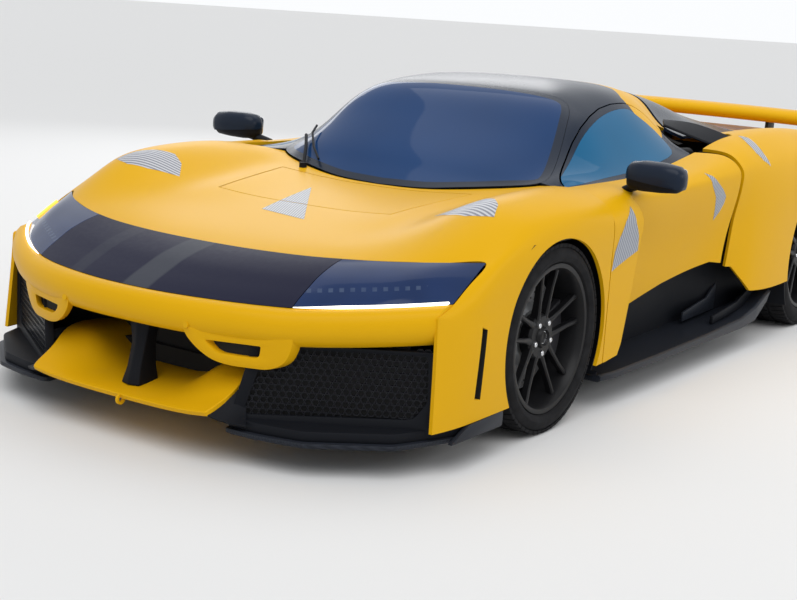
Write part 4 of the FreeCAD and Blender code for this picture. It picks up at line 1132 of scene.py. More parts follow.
QUARTER_NET = (
    at(
        0.400, (0.765, 0.905), (0.88, 0.900), (0.943, 0.868), (0.977, 0.822), (0.975, 0.74), (0.955, 0.62),
        (0.945, 0.50), (0.935, 0.38), (0.93, 0.30),
    ),
    at(
        0.500, (0.735, 0.925), (0.86, 0.926), (0.94, 0.889), (0.980, 0.832), (0.988, 0.74), (0.980, 0.62),
        (0.975, 0.50), (0.970, 0.38), (0.968, 0.285),
    ),
    at(
        0.620, (0.705, 0.940), (0.835, 0.950), (0.93, 0.910), (0.985, 0.842), (1.002, 0.74), (1.004, 0.62),
        (1.003, 0.50), (1.002, 0.38), (1.001, 0.272),
    ),
    at(
        0.900, (0.625, 0.940), (0.810, 0.975), (0.915, 0.940), (0.990, 0.860), (1.018, 0.76), (1.027, 0.64),
        (1.028, 0.50), (1.027, 0.38), (1.026, 0.270),
    ),
    at(
        1.370, (0.605, 0.918), (0.800, 0.966), (0.905, 0.942), (0.984, 0.872), (1.018, 0.78), (1.028, 0.66),
        (1.029, 0.52), (1.029, 0.40), (1.028, 0.29),
    ),
    at(
        1.900, (0.603, 0.894), (0.790, 0.918), (0.88, 0.902), (0.953, 0.850), (0.992, 0.75), (1.008, 0.62),
        (1.005, 0.50), (0.998, 0.40), (0.992, 0.30),
    ),
    at(
        2.270, (0.603, 0.882), (0.770, 0.884), (0.85, 0.868), (0.908, 0.826), (0.940, 0.73), (0.950, 0.62),
        (0.945, 0.54), (0.937, 0.46), (0.93, 0.38),
    ),
)
CANOPY_NET = (
    at(
        -1.030, (0, 0.727), (0.17, 0.728), (0.33, 0.730), (0.47, 0.740), (0.56, 0.752), (0.64, 0.768), (0.72, 0.80),
        (0.79, 0.80),
    ),
    at(
        -0.900, (0, 0.810), (0.17, 0.808), (0.33, 0.801), (0.47, 0.788), (0.565, 0.786), (0.645, 0.798),
        (0.715, 0.810), (0.79, 0.806),
    ),
    at(
        -0.800, (0, 0.880), (0.17, 0.878), (0.335, 0.869), (0.48, 0.846), (0.575, 0.818), (0.65, 0.812),
        (0.72, 0.813), (0.79, 0.808),
    ),
    at(
        -0.600, (0, 1.008), (0.17, 1.004), (0.34, 0.992), (0.48, 0.964), (0.565, 0.920), (0.64, 0.872),
        (0.72, 0.834), (0.795, 0.808),
    ),
    at(
        -0.420, (0, 1.114), (0.17, 1.112), (0.33, 1.103), (0.455, 1.082), (0.55, 1.030), (0.635, 0.945),
        (0.715, 0.866), (0.792, 0.812),
    ),
    at(
        -0.200, (0, 1.155), (0.17, 1.153), (0.32, 1.146), (0.445, 1.126), (0.545, 1.070), (0.63, 0.985),
        (0.715, 0.888), (0.792, 0.822),
    ),
    at(
        0.050, (0, 1.167), (0.17, 1.165), (0.32, 1.158), (0.445, 1.138), (0.540, 1.088), (0.63, 1.000),
        (0.715, 0.908), (0.792, 0.845),
    ),
    at(
        0.300, (0, 1.158), (0.16, 1.156), (0.31, 1.147), (0.42, 1.120), (0.51, 1.064), (0.60, 0.983), (0.68, 0.920),
        (0.76, 0.880),
    ),
    at(
        0.505, (0, 1.140), (0.15, 1.137), (0.285, 1.124), (0.38, 1.092), (0.445, 1.036), (0.51, 0.976),
        (0.57, 0.946), (0.610, 0.930),
    ),
    at(
        0.900, (0, 1.086), (0.14, 1.083), (0.26, 1.070), (0.35, 1.036), (0.41, 0.984), (0.47, 0.946), (0.53, 0.931),
        (0.590, 0.926),
    ),
    at(
        1.370, (0, 1.000), (0.13, 0.997), (0.24, 0.982), (0.33, 0.950), (0.39, 0.921), (0.46, 0.906), (0.53, 0.905),
        (0.590, 0.906),
    ),
    at(
        1.900, (0, 0.915), (0.13, 0.913), (0.24, 0.905), (0.33, 0.893), (0.39, 0.885), (0.46, 0.880), (0.53, 0.883),
        (0.590, 0.886),
    ),
)
TAIL_NET = (
    at(
        1.906, (0, 0.912), (0.13, 0.910), (0.24, 0.902), (0.33, 0.890), (0.39, 0.882), (0.46, 0.877), (0.53, 0.880),
        (0.596, 0.884),
    ),
    at(
        2.070, (0, 0.886), (0.13, 0.885), (0.24, 0.881), (0.33, 0.875), (0.39, 0.870), (0.46, 0.868), (0.53, 0.873),
        (0.596, 0.880),
    ),
    at(
        2.270, (0, 0.884), (0.13, 0.883), (0.24, 0.880), (0.33, 0.874), (0.39, 0.870), (0.46, 0.868), (0.53, 0.872),
        (0.596, 0.878),
    ),
)
# The door's glass and the opening round its frame, as (y, x, z) points on the roof's skin
WINDOW = (
    (-0.833, 0.735, 0.808), (-0.756, 0.700, 0.845), (-0.600, 0.655, 0.900), (-0.420, 0.606, 0.990),
    (-0.200, 0.568, 1.050), (0.013, 0.558, 1.068), (0.085, 0.574, 1.030), (0.190, 0.640, 0.945),
    (0.150, 0.724, 0.875), (-0.200, 0.752, 0.838), (-0.600, 0.750, 0.822),
)
DOORWAY = (
    (-0.887, 0.745, 0.788), (-0.800, 0.712, 0.812), (-0.695, 0.660, 0.858), (-0.600, 0.630, 0.908),
    (-0.510, 0.602, 0.965), (-0.420, 0.578, 1.010), (-0.310, 0.553, 1.045), (-0.200, 0.536, 1.072),
    (-0.080, 0.526, 1.084), (0.050, 0.524, 1.084), (0.130, 0.530, 1.068), (0.200, 0.550, 1.040),
    (0.265, 0.610, 0.965), (0.325, 0.700, 0.890), (0.345, 0.840, 0.720), (-0.887, 0.840, 0.720),
)
SCREEN = (
    (0.0, -0.998), (0.20, -0.986), (0.36, -0.947), (0.48, -0.900), (0.57, -0.850), (0.622, -0.800), (0.626, -0.740),
    (0.592, -0.620), (0.545, -0.480), (0.508, -0.395), (0.460, -0.355), (0.36, -0.350), (0.20, -0.350),
    (0.0, -0.350),
)
# Where the black roof ends and the yellow begins in plan, and the foot of the yellow flank as (y, z)
ROOF_SEAM = ((0.0, 0.262), (0.30, 0.245), (0.40, 0.206), (0.50, 0.092), (0.58, 0.061), (0.80, 0.040))
FLANK_FOOT = ((0.061, 1.002), (0.100, 0.972), (0.200, 0.950), (0.354, 0.993), (0.450, 0.985), (0.640, 0.948))
BODY_FOOT = (
    (-0.60, -0.80), (-0.64, -0.812), (-0.71, -0.852), (-0.745, -0.893), (-0.80, -0.924), (-1.2, -0.924),
    (-1.2, -0.5),
)
CANOPY_FOOT = ((-0.60, -0.797), (-0.64, -0.807), (-0.71, -0.845), (-0.742, -0.886), (-0.82, -0.90), (-0.9, -1.3))
CHEEK_SLOT = ((-1.826, 0.228), (-1.792, 0.222), (-1.772, 0.448), (-1.800, 0.460))
DOOR_NOTCH = (
    (-0.80, 0.10), (-0.80, 0.262), (-0.41, 0.334), (-0.147, 0.380), (0.055, 0.405), (0.268, 0.430), (0.36, 0.418),
    (0.505, 0.355), (0.505, 0.1),
)
BLADE_SECTION = (
    (0.80, 0.822), (0.872, 0.818), (0.940, 0.789), (0.996, 0.726), (1.003, 0.62), (1.003, 0.42), (1.003, 0.19),
)
BLADE_EDGE = (
    (-0.800, 0.90), (-0.705, 0.822), (-0.672, 0.780), (-0.668, 0.70), (-0.690, 0.60), (-0.722, 0.45),
    (-0.775, 0.245), (-0.800, 0.205), (-0.90, 0.195),
)
QUARTER_FOOT = ((0.30, 0.405), (0.44, 0.395), (0.50, 0.345), (0.60, 0.262), (0.60, 0.1), (0.30, 0.1))
BLADE_FILM = (
    (-0.742, 0.762), (-0.733, 0.700), (-0.706, 0.650), (-0.701, 0.595), (-0.784, 0.575), (-0.865, 0.554),
    (-0.915, 0.538), (-0.901, 0.61), (-0.872, 0.659), (-0.824, 0.713),
)
SIDE_FILM = (
    (0.050, 0.836), (0.094, 0.823), (0.136, 0.796), (0.202, 0.762), (0.251, 0.728), (0.253, 0.697), (0.234, 0.657),
    (0.205, 0.622), (0.179, 0.679), (0.150, 0.730), (0.089, 0.782),
)
HAUNCH_FILM = (
    (0.825, 0.675), (0.869, 0.692), (0.922, 0.680), (0.961, 0.676), (0.992, 0.690), (0.976, 0.636), (0.946, 0.606),
    (0.899, 0.615), (0.860, 0.645),
)
BONNET_FILM = ((0.155, -1.665), (-0.150, -1.230), (-0.070, -1.625))
WING_FILM = (
    (0.590, -1.500), (0.655, -1.420), (0.720, -1.390), (0.785, -1.430), (0.835, -1.490), (0.866, -1.566),
    (0.824, -1.588), (0.773, -1.600), (0.690, -1.573),
)
INTAKE = ((0.50, 0.10), (0.775, 0.10), (0.775, 0.46), (0.788, 0.58), (0.800, 0.67), (0.760, 0.715), (0.50, 0.715))
DOOR_LEAVES = Vector((1, 0, 1))
SEAM = 0.0024


def drawn_in(outline: Sequence[Vector], along: Vector, inset: float) -> list[Vector]:
    """An outline moved inwards, square to a direction."""
    middle = sum(outline, Vector()) / len(outline)
    moved = []
    count = len(outline)
    for i, point in enumerate(outline):
        run = outline[(i + 1) % count] - outline[i - 1]
        side = along.cross(run).normalized()
        if side.dot(middle - point) < 0:
            side.negate()
        moved.append(point + side * inset)
    return moved


def mirror_points(points: Sequence[Vector]) -> list[Vector]:
    """Points on the car's other side, in reverse order."""
    return [Vector((-p.x, p.y, p.z)) for p in points[::-1]]


def two_halves(half: Iterable[Point2]) -> list[Vector]:
    """An outline's left or right half in plan, closed over the car's other side."""
    points = top_view(half)
    return points + mirror_points(points)


def leaf_view(points: Iterable[Point3]) -> list[Vector]:
    """Points on the roof's skin, given as (y, x, z)."""
    return [Vector((x, y, z)) for y, x, z in points]


def film_on(skin: BMesh, outline: Sequence[Vector], along: Vector, lift: float = 0.0008) -> BMesh:
    """A thin film patch that lies on a skin.

    Args:
        skin: The skin, which stays as it is.
        outline: The patch's outline.
        along: The direction in which the outline cuts.
        lift: How far the patch stands off.

    Returns:
        The patch.
    """
    patch = skin.copy()
    trimmed(patch, outline, along, True, 0.01)
    patch.normal_update()
    for vert in patch.verts:
        vert.co += vert.normal * lift
    return patch


@dataclass
class BodySkins:
    """The car's outer surfaces, made once and cut into panels."""

    paints: Paintbox
    wall: float = 0.014
    glass: float = 0.005
    screen_rim: float = 0.034
    lid_front: float = -1.485
    lid_rear: float = -1.030
    lid_front_half: float = 0.400
    lid_rear_half: float = 0.455
    door_front: float = -0.920
    door_rear: float = 0.420
    flank_inner: float = 0.61
    flank_outer: float = 1.11
    rear_bevel: float = 0.35
    engine_lid_front: float = 0.600
    collar_rear: float = 0.556
    groove_depth: float = 0.034
    front_arch: float = 0.357
    rear_arch: float = 0.386
    front_hub: float = 0.340
    rear_hub: float = 0.370
    louvres: int = 6
    louvre_front: float = 0.95
    louvre_pitch: float = 0.13

    def __post_init__(self) -> None:
        """Makes the surfaces that the panels are cut from."""
        half = spline(top_view(SCREEN), 4)
        self.screen = half + mirror_points(half)[1:-1]
        middle = len(FRONT_NET[0]) - 1
        front = smooth_skin([both(row) for row in FRONT_NET], {middle - 2: 0.35, middle + 2: 0.35})
        self.front = face_out(front, UP, 1.2)
        self.canopy = face_out(smooth_skin([both(row) for row in CANOPY_NET]), UP, 1.0)
        self.door = face_out(smooth_skin(DOOR_NET, {3: 0.3}), Vector((1, 0, 0.4)))
        self.quarter = face_out(smooth_skin(QUARTER_NET, {3: 0.25}), Vector((1, 0, 0.6)))

    def panel(
        self, bm: BMesh, label: str, finish: str, body: str, nodes: Sequence[str], wall: float | None = None
    ) -> None:
        """Gives a skin its wall and hands it over as a piece."""
        self.paints.place(bm, label, finish, body, nodes, 50, self.wall if wall is None else wall)

    def lid_outline(self, inset: float) -> list[Vector]:
        """The bonnet lid's outline in plan."""
        front, rear = self.lid_front + inset, self.lid_rear - inset
        front_half, rear_half = self.lid_front_half - inset, self.lid_rear_half - inset
        return top_view(((-front_half, front), (front_half, front), (rear_half, rear), (-rear_half, rear)))

    def build_front(self) -> None:
        """The front body and its lid."""
        lid = self.front.copy()
        trimmed(lid, self.lid_outline(SEAM), UP, True)
        self.panel(lid, "bonnet_lid", "yellow_paint", "front_lid", ["front_lid"])
        body = self.front.copy()
        trimmed(body, self.lid_outline(-SEAM), UP, False)
        trimmed(body, drawn_in(self.screen, UP, -SEAM), UP, False)
        trimmed(body, two_halves(BODY_FOOT), UP, False)
        clipped(body, (0, -0.70, 0), (0, 1, 0))
        without_disc(body, FRONT_AXLE, self.front_hub, self.front_arch)
        self.cheek_slots(body)
        self.panel(body, "front_body", "yellow_paint", "chassis", ["front_clamshell"])

    def cheek_slots(self, body: BMesh) -> None:
        """Cuts the tall slot in each cheek ahead of the wheel."""
        slot = side_view(CHEEK_SLOT)
        half = body.copy()
        clipped(half, (0.5, 0, 0), (-1, 0, 0))
        recess = pocket(half, slot, ACROSS, 0.040)
        half.free()
        trimmed(body, slot, ACROSS, False, FINE_REACH)
        # The slot's recess is near-black: painted shade
        self.paints.pair(recess, "cheek_slot", "dark_gap", ["front_clamshell"])

    def build_doors(self) -> None:
        """Both doors: skin, blade behind the wheel, frame, crown, glass and films."""
        skin = self.door.copy()
        front, rear = self.door_front + SEAM, self.door_rear - SEAM
        bevel = self.rear_bevel * (self.flank_outer - self.flank_inner)
        plan = (
            (self.flank_inner, front), (self.flank_outer, front), (self.flank_outer, rear),
            (self.flank_inner, rear - bevel),
        )
        trimmed(skin, top_view(plan), UP, True)
        trimmed(skin, side_view(DOOR_NOTCH), ACROSS, False)
        blade = face_out(
            smooth_skin([at(y, *BLADE_SECTION) for y in (-0.93, -0.85, -0.77, -0.62)]), Vector((1, 0, 0.4))
        )
        trimmed(blade, side_view(((front, 0.90), *BLADE_EDGE, (front, 0.195))), ACROSS, True)
        without_disc(blade, FRONT_AXLE, self.front_hub, self.front_arch)
        window = spline(leaf_view(WINDOW), 4, True)
        frame_skin = self.canopy.copy()
        clipped(frame_skin, (0.4, 0, 0), (-1, 0, 0))
        trimmed(frame_skin, drawn_in(leaf_view(DOORWAY), DOOR_LEAVES, 0.006), DOOR_LEAVES, True)
        glass = frame_skin.copy()
        trimmed(frame_skin, window, DOOR_LEAVES, False)
        trimmed(glass, drawn_in(window, DOOR_LEAVES, 0.0005), DOOR_LEAVES, True)
        crown = frame_skin.copy()
        above = side_view(((0.092, 1.12), *FLANK_FOOT[:4], (0.40, 1.12)))
        trimmed(crown, above, ACROSS, True)
        trimmed(frame_skin, above, ACROSS, False)
        film = film_on(blade, side_view(BLADE_FILM), ACROSS)
        side_film = film_on(skin, side_view(SIDE_FILM), ACROSS)
        parts = (
            (skin, "door_skin", "yellow_paint", "door", 0.030),
            (blade, "door_blade", "yellow_paint", "door", 0.022),
            (frame_skin, "door_frame", "roof_gloss", "door", 0.020),
            (crown, "door_crown", "yellow_paint", "door", 0.020),
            (glass, "door_window", "side_glass", "door_glass", self.glass),
        )
        for side in Side:
            word = side.word
            for bm, label, finish, node, wall in parts:
                self.panel(on_side(bm, side), f"{label}_{word}", finish, f"door_{word}", [f"{node}_{word}"], wall)
            for bm, label in ((film, "blade_film"), (side_film, "side_film")):
                self.paints.place(on_side(bm, side), f"{label}_{word}", "film_side", f"door_{word}")
        for bm in (skin, blade, frame_skin, crown, glass, film, side_film):
            bm.free()

    def build_screen(self) -> None:
        """The windscreen and the black border round it."""
        screen = self.canopy.copy()
        trimmed(screen, drawn_in(self.screen, UP, 0.0015), UP, True)
        border = screen.copy()
        pane = drawn_in(self.screen, UP, self.screen_rim)
        trimmed(border, pane, UP, False)
        trimmed(screen, pane, UP, True)
        self.panel(border, "screen_border", "roof_gloss", "chassis", ["windscreen"], self.glass)
        self.panel(screen, "screen", "screen_glass", "chassis", ["windscreen"], self.glass)

    def build_canopy(self) -> None:
        """Roof, pillars and the spine behind them, cut at the seam into roof, collar and engine cover."""
        left = self.canopy.copy()
        trimmed(left, self.screen, UP, False)
        clipped(left, (0, -0.9, 0), (0, -1, 0))
        trimmed(left, two_halves(CANOPY_FOOT), UP, False)
        clipped(left, (0, 0, 0), (-1, 0, 0))
        trimmed(left, leaf_view(DOORWAY), DOOR_LEAVES, False)
        clipped(left, (0.775, 0, 0), (1, 0, 0))
        right = mirrored(left)
        whole = merged([left, right])
        bmesh.ops.remove_doubles(whole, verts=whole.verts, dist=1e-5)
        seam = top_view((*ROOF_SEAM, (0.9, 3)))
        behind = seam + mirror_points(seam)[:-1]
        roof = whole.copy()
        trimmed(roof, behind, UP, False)
        self.panel(roof, "roof_skin", "roof_gloss", "chassis", ["roof"])
        collar, lid = whole.copy(), whole
        trimmed(collar, behind, UP, True)
        groove = collar.copy()
        clipped(collar, (0, self.collar_rear, 0), (0, 1, 0))
        clipped(groove, (0, self.collar_rear - 0.020, 0), (0, -1, 0))
        clipped(groove, (0, self.engine_lid_front + 0.012, 0), (0, 1, 0))
        shifted(groove, (0, 0, -self.groove_depth))
        # The groove under the gap is near-black: painted shade between the panels
        self.paints.place(groove, "lid_groove", "dark_gap", "chassis", ["roof"])
        under_flank = side_view((*FLANK_FOOT, (FLANK_FOOT[-1][0], 0.75), (FLANK_FOOT[0][0], 0.75)))
        trimmed(collar, under_flank, ACROSS, False)
        self.panel(collar, "roof_collar", "yellow_paint", "chassis", ["roof"])
        clipped(lid, (0, self.engine_lid_front + SEAM, 0), (0, -1, 0))
        for y in self.louvre_rows():
            trimmed(lid, top_view(((-0.15, y), (0.15, y), (0.15, y + 0.06), (-0.15, y + 0.06))), UP, False)
        self.panel(lid, "engine_cover", "roof_gloss", "engine_lid", ["engine_lid"])

    def louvre_rows(self) -> list[float]:
        """Where each louvre's slot begins along the car."""
        return [self.louvre_front + row * self.louvre_pitch for row in range(self.louvres)]

    def build_louvres(self) -> None:
        """The slats in the engine cover's slots."""
        for number, y in enumerate(self.louvre_rows(), 1):
            bm = bmesh.new()
            bmesh.ops.create_cube(bm, size=1.0)
            bmesh.ops.scale(bm, vec=(0.30, 0.085, 0.006), verts=bm.verts)
            bmesh.ops.bevel(bm, geom=bm.edges, offset=0.002, affect="EDGES", segments=2, profile=0.5, material=-1)
            place = Matrix.Translation((0, y + 0.030, 1.052 - (y - self.louvre_front) * 0.148 - 0.024))
            bmesh.ops.transform(bm, matrix=place @ Matrix.Rotation(math.radians(-26), 4, "X"), verts=bm.verts)
            self.paints.place(bm, f"louvre_{number}", "carbon", "engine_lid", ["engine_lid"])

    def build_quarters(self) -> None:
        """The rear wings over the wheels."""
        skin = self.quarter.copy()
        front = self.door_rear + SEAM
        bevel = self.rear_bevel * (self.flank_outer - self.flank_inner)
        plan = (
            (self.flank_outer, front), (self.flank_inner, front - bevel), (self.flank_inner, 3),
            (self.flank_outer, 3),
        )
        trimmed(skin, top_view(plan), UP, True)
        trimmed(skin, top_view(INTAKE), UP, False)
        trimmed(skin, side_view(QUARTER_FOOT), ACROSS, False)
        without_disc(skin, REAR_AXLE, self.rear_hub, self.rear_arch)
        film = film_on(skin, top_view(HAUNCH_FILM), UP)
        for side in Side:
            word = side.word
            self.panel(on_side(skin, side), f"rear_wing_panel_{word}", "yellow_paint", "chassis", ["rear_wings"])
            self.paints.place(on_side(film, side), f"haunch_film_{word}", f"film_{word}", "chassis")
        skin.free()
        film.free()

    def build_films(self) -> None:
        """The hatched films on the bonnet and the front wings."""
        patch = film_on(self.front, top_view(BONNET_FILM), UP)
        rear = patch.copy()
        clipped(rear, (0, self.lid_front + SEAM, 0), (0, -1, 0))
        clipped(patch, (0, self.lid_front - SEAM, 0), (0, 1, 0))
        self.paints.place(rear, "bonnet_film_rear", "film_bonnet", "front_lid")
        self.paints.place(patch, "bonnet_film_front", "film_bonnet", "chassis")
        wing = film_on(self.front, top_view(WING_FILM), UP)
        for side in Side:
            self.paints.place(on_side(wing, side), f"wing_film_{side.word}", f"film_{side.word}", "chassis")
        wing.free()

    def build(self) -> None:
        """Builds every panel."""
        self.build_front()
        self.build_doors()
        self.build_screen()
        self.build_canopy()
        self.build_louvres()
        self.build_quarters()
        self.build_films()


# Nose


@dataclass
class Nose:
    """Bar, visor, lamps, grilles, tray and splitter."""

    paints: Paintbox
    tip: float = -2.420
    arc: float = 1.300
    visor_depth: float = 0.060

    def on_arc(self, x: float, behind: float, z: float) -> Point3:
        """A point on an arc concentric with the nose."""
        radius = self.arc - behind
        return (x, self.tip + self.arc - math.sqrt(radius * radius - x * x), z)

    def top_edge(self, x: float) -> float:
        """The height of the bar's top edge."""
        return 0.507 + 0.035 * max(0.0, (abs(x) - 0.55) / 0.39) ** 1.2

    def build_bar(self) -> None:
        """The rounded bar across the nose with its two towing loops."""
        section = (
            (0.062, 0.000), (0.040, -0.002), (0.020, -0.008), (0.007, -0.022), (0.001, -0.044), (0.002, -0.068),
            (0.012, -0.092), (0.032, -0.108), (0.058, -0.114), (0.085, -0.114), (0.088, -0.060), (0.085, -0.006),
        )
        rows = []
        steps = 56
        half = 0.949
        for i in range(steps + 1):
            x = half * math.sin(math.pi * (i / steps - 0.5))
            squeeze = 1.0 + 0.10 * min(1.0, abs(x) / 0.9)
            rows.append([self.on_arc(x, behind, self.top_edge(x) + down * squeeze) for behind, down in section])
        self.paints.place(capped(loft(rows, True)), "nose_bar_skin", "yellow_paint", "chassis", ["nose_bar"], 60)
        outer = round_corners(
            [
                (0.250, 0.432), (0.262, 0.392), (0.300, 0.352), (0.345, 0.324), (0.400, 0.313), (0.520, 0.312),
                (0.566, 0.336), (0.588, 0.380), (0.598, 0.432),
            ], 0.03, 4
        )
        inner = round_corners(
            [
                (0.326, 0.388), (0.334, 0.374), (0.352, 0.358), (0.372, 0.350), (0.430, 0.348), (0.486, 0.348),
                (0.496, 0.356), (0.500, 0.374), (0.502, 0.388),
            ], 0.006, 4
        )
        loop = framed(
            [self.on_loop(*p) for p in outer], [self.on_loop(*p) for p in inner], Vector((0.008, 0.034, 0)), 0.004
        )
        self.paints.pair(loop, "towing_loop", "yellow_paint", ["nose_bar"])
        # The well behind each loop is near-black: painted shade in the hole
        well = loft([[self.on_arc(x, 0.040, z) for x in (0.315, 0.36, 0.42, 0.47, 0.518)] for z in (0.396, 0.342)])
        face_out(well, Vector((0, -1, 0)))
        self.paints.pair(well, "loop_well", "dark_gap", ["nose_bar"])
        sensor = rod(self.on_arc(0.268, 0.012, 0.428), self.on_arc(0.268, 0.0015, 0.428), 0.010, 24)
        self.paints.pair(sensor, "sensor", "yellow_paint", ["nose_bar"])

    def on_loop(self, x: float, z: float) -> Point3:
        """A point of a towing loop's face, which leaves the bar's face and falls back below it."""
        return self.on_arc(x, 0.0065 + (0.432 - z) * 0.15, z)

    def visor_row(self, x_low: float, x_high: float, y_high: float, z_high: float, count: int = 7) -> list[Point3]:
        """A line up the visor, from the bar to the bonnet, slightly crowned."""
        low = Vector(self.on_arc(x_low, self.visor_depth - 0.002, self.top_edge(x_low) + 0.002))
        high = Vector((x_high, y_high, z_high))
        made = []
        for i in range(count):
            t = i / (count - 1)
            crown = 0.0 if x_low > 0.9 else 0.064 * t * (1 - t) * (0.85 if t < 0.5 else 1.0)
            made.append(tuple(low.lerp(high, t) + Vector((0, -0.4, 1)).normalized() * crown))
        return made

    def build_visor(self) -> None:
        """The dark band from lamp to lamp, with the lamps' lenses at its ends."""
        top = FRONT_NET[0]
        feet = (0.0, 0.20, 0.39, 0.50, 0.600, 0.715, 0.815, 0.948)
        half = [self.visor_row(low, *high) for low, high in zip(feet, top)]
        rows = [[(-x, y, z) for x, y, z in row] for row in half[:0:-1]] + half
        band = smooth_skin(rows, levels=2)
        face_out(band, Vector((0, -0.5, 1)))
        cut = two_halves(((0.562, -2.60), (0.561, -2.277), (0.548, -1.962), (0.545, -1.70)))
        middle = band.copy()
        trimmed(middle, drawn_in(cut, UP, 0.002), UP, True)
        self.paints.place(middle, "visor_band", "visor_film", "chassis", ["visor"], 60, 0.012)
        trimmed(band, cut, UP, False)
        clipped(band, (0.3, 0, 0), (-1, 0, 0))
        # A near-black bed behind each lens: painted shade inside the lamp
        bed = band.copy()
        shifted(bed, (0, 0.030, -0.040))
        self.paints.pair(bed, "lamp_bed", "dark_gap", ["headlamps"])
        self.paints.pair(band, "lamp_lens", "lamp_lens", ["headlamps"], wall=0.004, sharp=60)
        self.build_lamps()

    def build_lamps(self) -> None:
        """The bright strip under each lens and an amber marker on the right."""
        rows = []
        steps, start, end = 32, 0.566, 0.943
        section = ((0, -0.004, -0.003), (0, -0.006, 0.003), (0, 0.002, 0.0075), (0, 0.008, 0.001))
        for i in range(steps + 1):
            t = i / steps
            x = start + (end - start) * t
            size = 0.25 + 0.75 * min(1.0, t * 3.0)
            middle = Vector(self.on_arc(x, self.visor_depth - 0.010, self.top_edge(x) + 0.004))
            rows.append([middle + Vector(offset) * size for offset in section])
        self.paints.pair(capped(loft(rows, True)), "lamp_strip", "lamp_white", ["headlamps"])
        marker = pipe(((-0.948, -1.895, 0.563), (-0.948, -1.845, 0.592), (-0.946, -1.800, 0.617)), 0.0055, 10)
        self.paints.place(marker, "lamp_marker_right", "lamp_amber", "chassis", ["headlamps"])

    def build_grilles(self) -> None:
        """The honeycomb side grilles in their black surrounds."""
        start, end = Vector((0.440, -2.294, 0)), Vector((0.937, -1.979, 0))
        run = (end - start).normalized()
        out = Vector((run.y, -run.x, 0))
        opening = round_corners(
            [(0.062, 0.378), (0.564, 0.386), (0.570, 0.235), (0.528, 0.178), (-0.005, 0.160)], 0.020, 5
        )
        edge = round_corners(
            [(0.022, 0.394), (0.588, 0.398), (0.588, 0.200), (0.582, 0.128), (-0.050, 0.128)], 0.004, 5
        )

        def lift(u: float, z: float, depth: float) -> Point3:
            """A point of the grille's plane."""
            return tuple(start + run * u + out * depth + Vector((0, 0, z)))

        surround = framed(
            [lift(u, z, 0.018) for u, z in edge], [lift(u, z, 0.012) for u, z in opening], -out * 0.030, 0.003
        )
        self.paints.pair(surround, "grille_surround", "black_trim", ["side_grilles"])
        radius = 0.0135
        cell = pushed(hexagon(radius, 0.0026), UP * 0.012)
        bmesh.ops.recalc_face_normals(cell, faces=cell.faces)
        bmesh.ops.transform(cell, matrix=Matrix((run, UP, -out)).transposed().to_4x4(), verts=cell.verts)
        grown = [Vector(p) for p in opening]
        cells = []
        pitch_u, pitch_z = radius * math.sqrt(3), radius * 1.5
        for row in range(18):
            for column in range(30):
                u = column * pitch_u + (row % 2) * pitch_u / 2
                z = 0.150 + row * pitch_z
                near = min((Vector((u, z)) - p).length for p in grown)
                if inside(grown, u, z) or near < radius * 0.9:
                    cells.append(shifted(turned(cell.copy(), math.radians(30), out), lift(u, z, 0.007)))
        cell.free()
        self.paints.pair(merged(cells), "honeycomb", "mesh_black", ["side_grilles"])
        # The sheet behind the honeycomb is near-black: painted shade
        backing = bmesh.new()
        face = [lift(u, z, -0.004) for u, z in ((0.0, 0.13), (0.585, 0.13), (0.585, 0.392), (0.02, 0.392))]
        backing.faces.new([backing.verts.new(p) for p in face])
        face_out(backing, out)
        self.paints.pair(backing, "grille_backing", "dark_gap", ["side_grilles"], wall=0.004)

    def build_tray(self) -> None:
        """The yellow tray under the nose, its post and the black splitters."""
        table = (
            (-2.417, (0, 0.160), (0.17, 0.161), (0.30, 0.166), (0.384, 0.175)),
            (-2.385, (0, 0.168), (0.17, 0.170), (0.30, 0.180), (0.394, 0.192)),
            (-2.310, (0, 0.180), (0.17, 0.185), (0.29, 0.218), (0.406, 0.228)),
            (-2.240, (0, 0.190), (0.17, 0.202), (0.28, 0.272), (0.414, 0.276)),
            (-2.130, (0, 0.196), (0.17, 0.216), (0.28, 0.280), (0.410, 0.290)),
            (-1.985, (0, 0.198), (0.16, 0.220), (0.26, 0.280), (0.350, 0.290)),
        )
        net = [both(at(row[0], *row[1:])) for row in table]
        tray = smooth_skin(net, levels=2)
        face_out(tray, UP)
        self.paints.place(tray, "tray_skin", "yellow_paint", "chassis", ["nose_tray"], 60, 0.018, 0.004)
        eye = spun([(-0.005, 0.010), (0.005, 0.010), (0.005, 0.018), (-0.005, 0.018)], (0.02, -2.412, 0.142), 28)
        self.paints.place(eye, "tray_eye", "yellow_paint", "chassis", ["nose_tray"])
        post = loft(
            [
                [(x * w, y, z) for x, y in ((-1, a), (0, a - 0.012), (1, a), (1, b), (-1, b))]
                for w, a, b, z in (
                    (0.040, -2.350, -2.255, 0.176), (0.030, -2.335, -2.258, 0.230), (0.030, -2.315, -2.262, 0.310),
                    (0.044, -2.312, -2.262, 0.388),
                )
            ],
            True,
        )
        self.paints.place(softened(capped(post), 0.005, 3), "post_skin", "black_trim", "chassis", ["tray_post"])
        lip = [
            (0.400, -2.345), (0.520, -2.342), (0.680, -2.305), (0.900, -2.125), (0.985, -1.900), (0.993, -1.640),
            (0.940, -1.640), (0.870, -1.940), (0.400, -2.140),
        ]
        self.paints.pair(
            slab(round_corners(lip, 0.02, 3), 0.100, 0.117, "z", 0.005), "splitter_lip", "carbon", ["splitter"]
        )
        step = [
            (0.398, -2.330), (0.520, -2.325), (0.670, -2.290), (0.885, -2.112), (0.975, -1.900), (0.982, -1.660),
            (0.92, -1.660), (0.86, -1.94), (0.40, -2.13),
        ]
        self.paints.pair(
            slab(round_corners(step, 0.02, 3), 0.116, 0.150, "z", 0.007), "splitter_step", "black_trim",
            ["splitter"],
        )
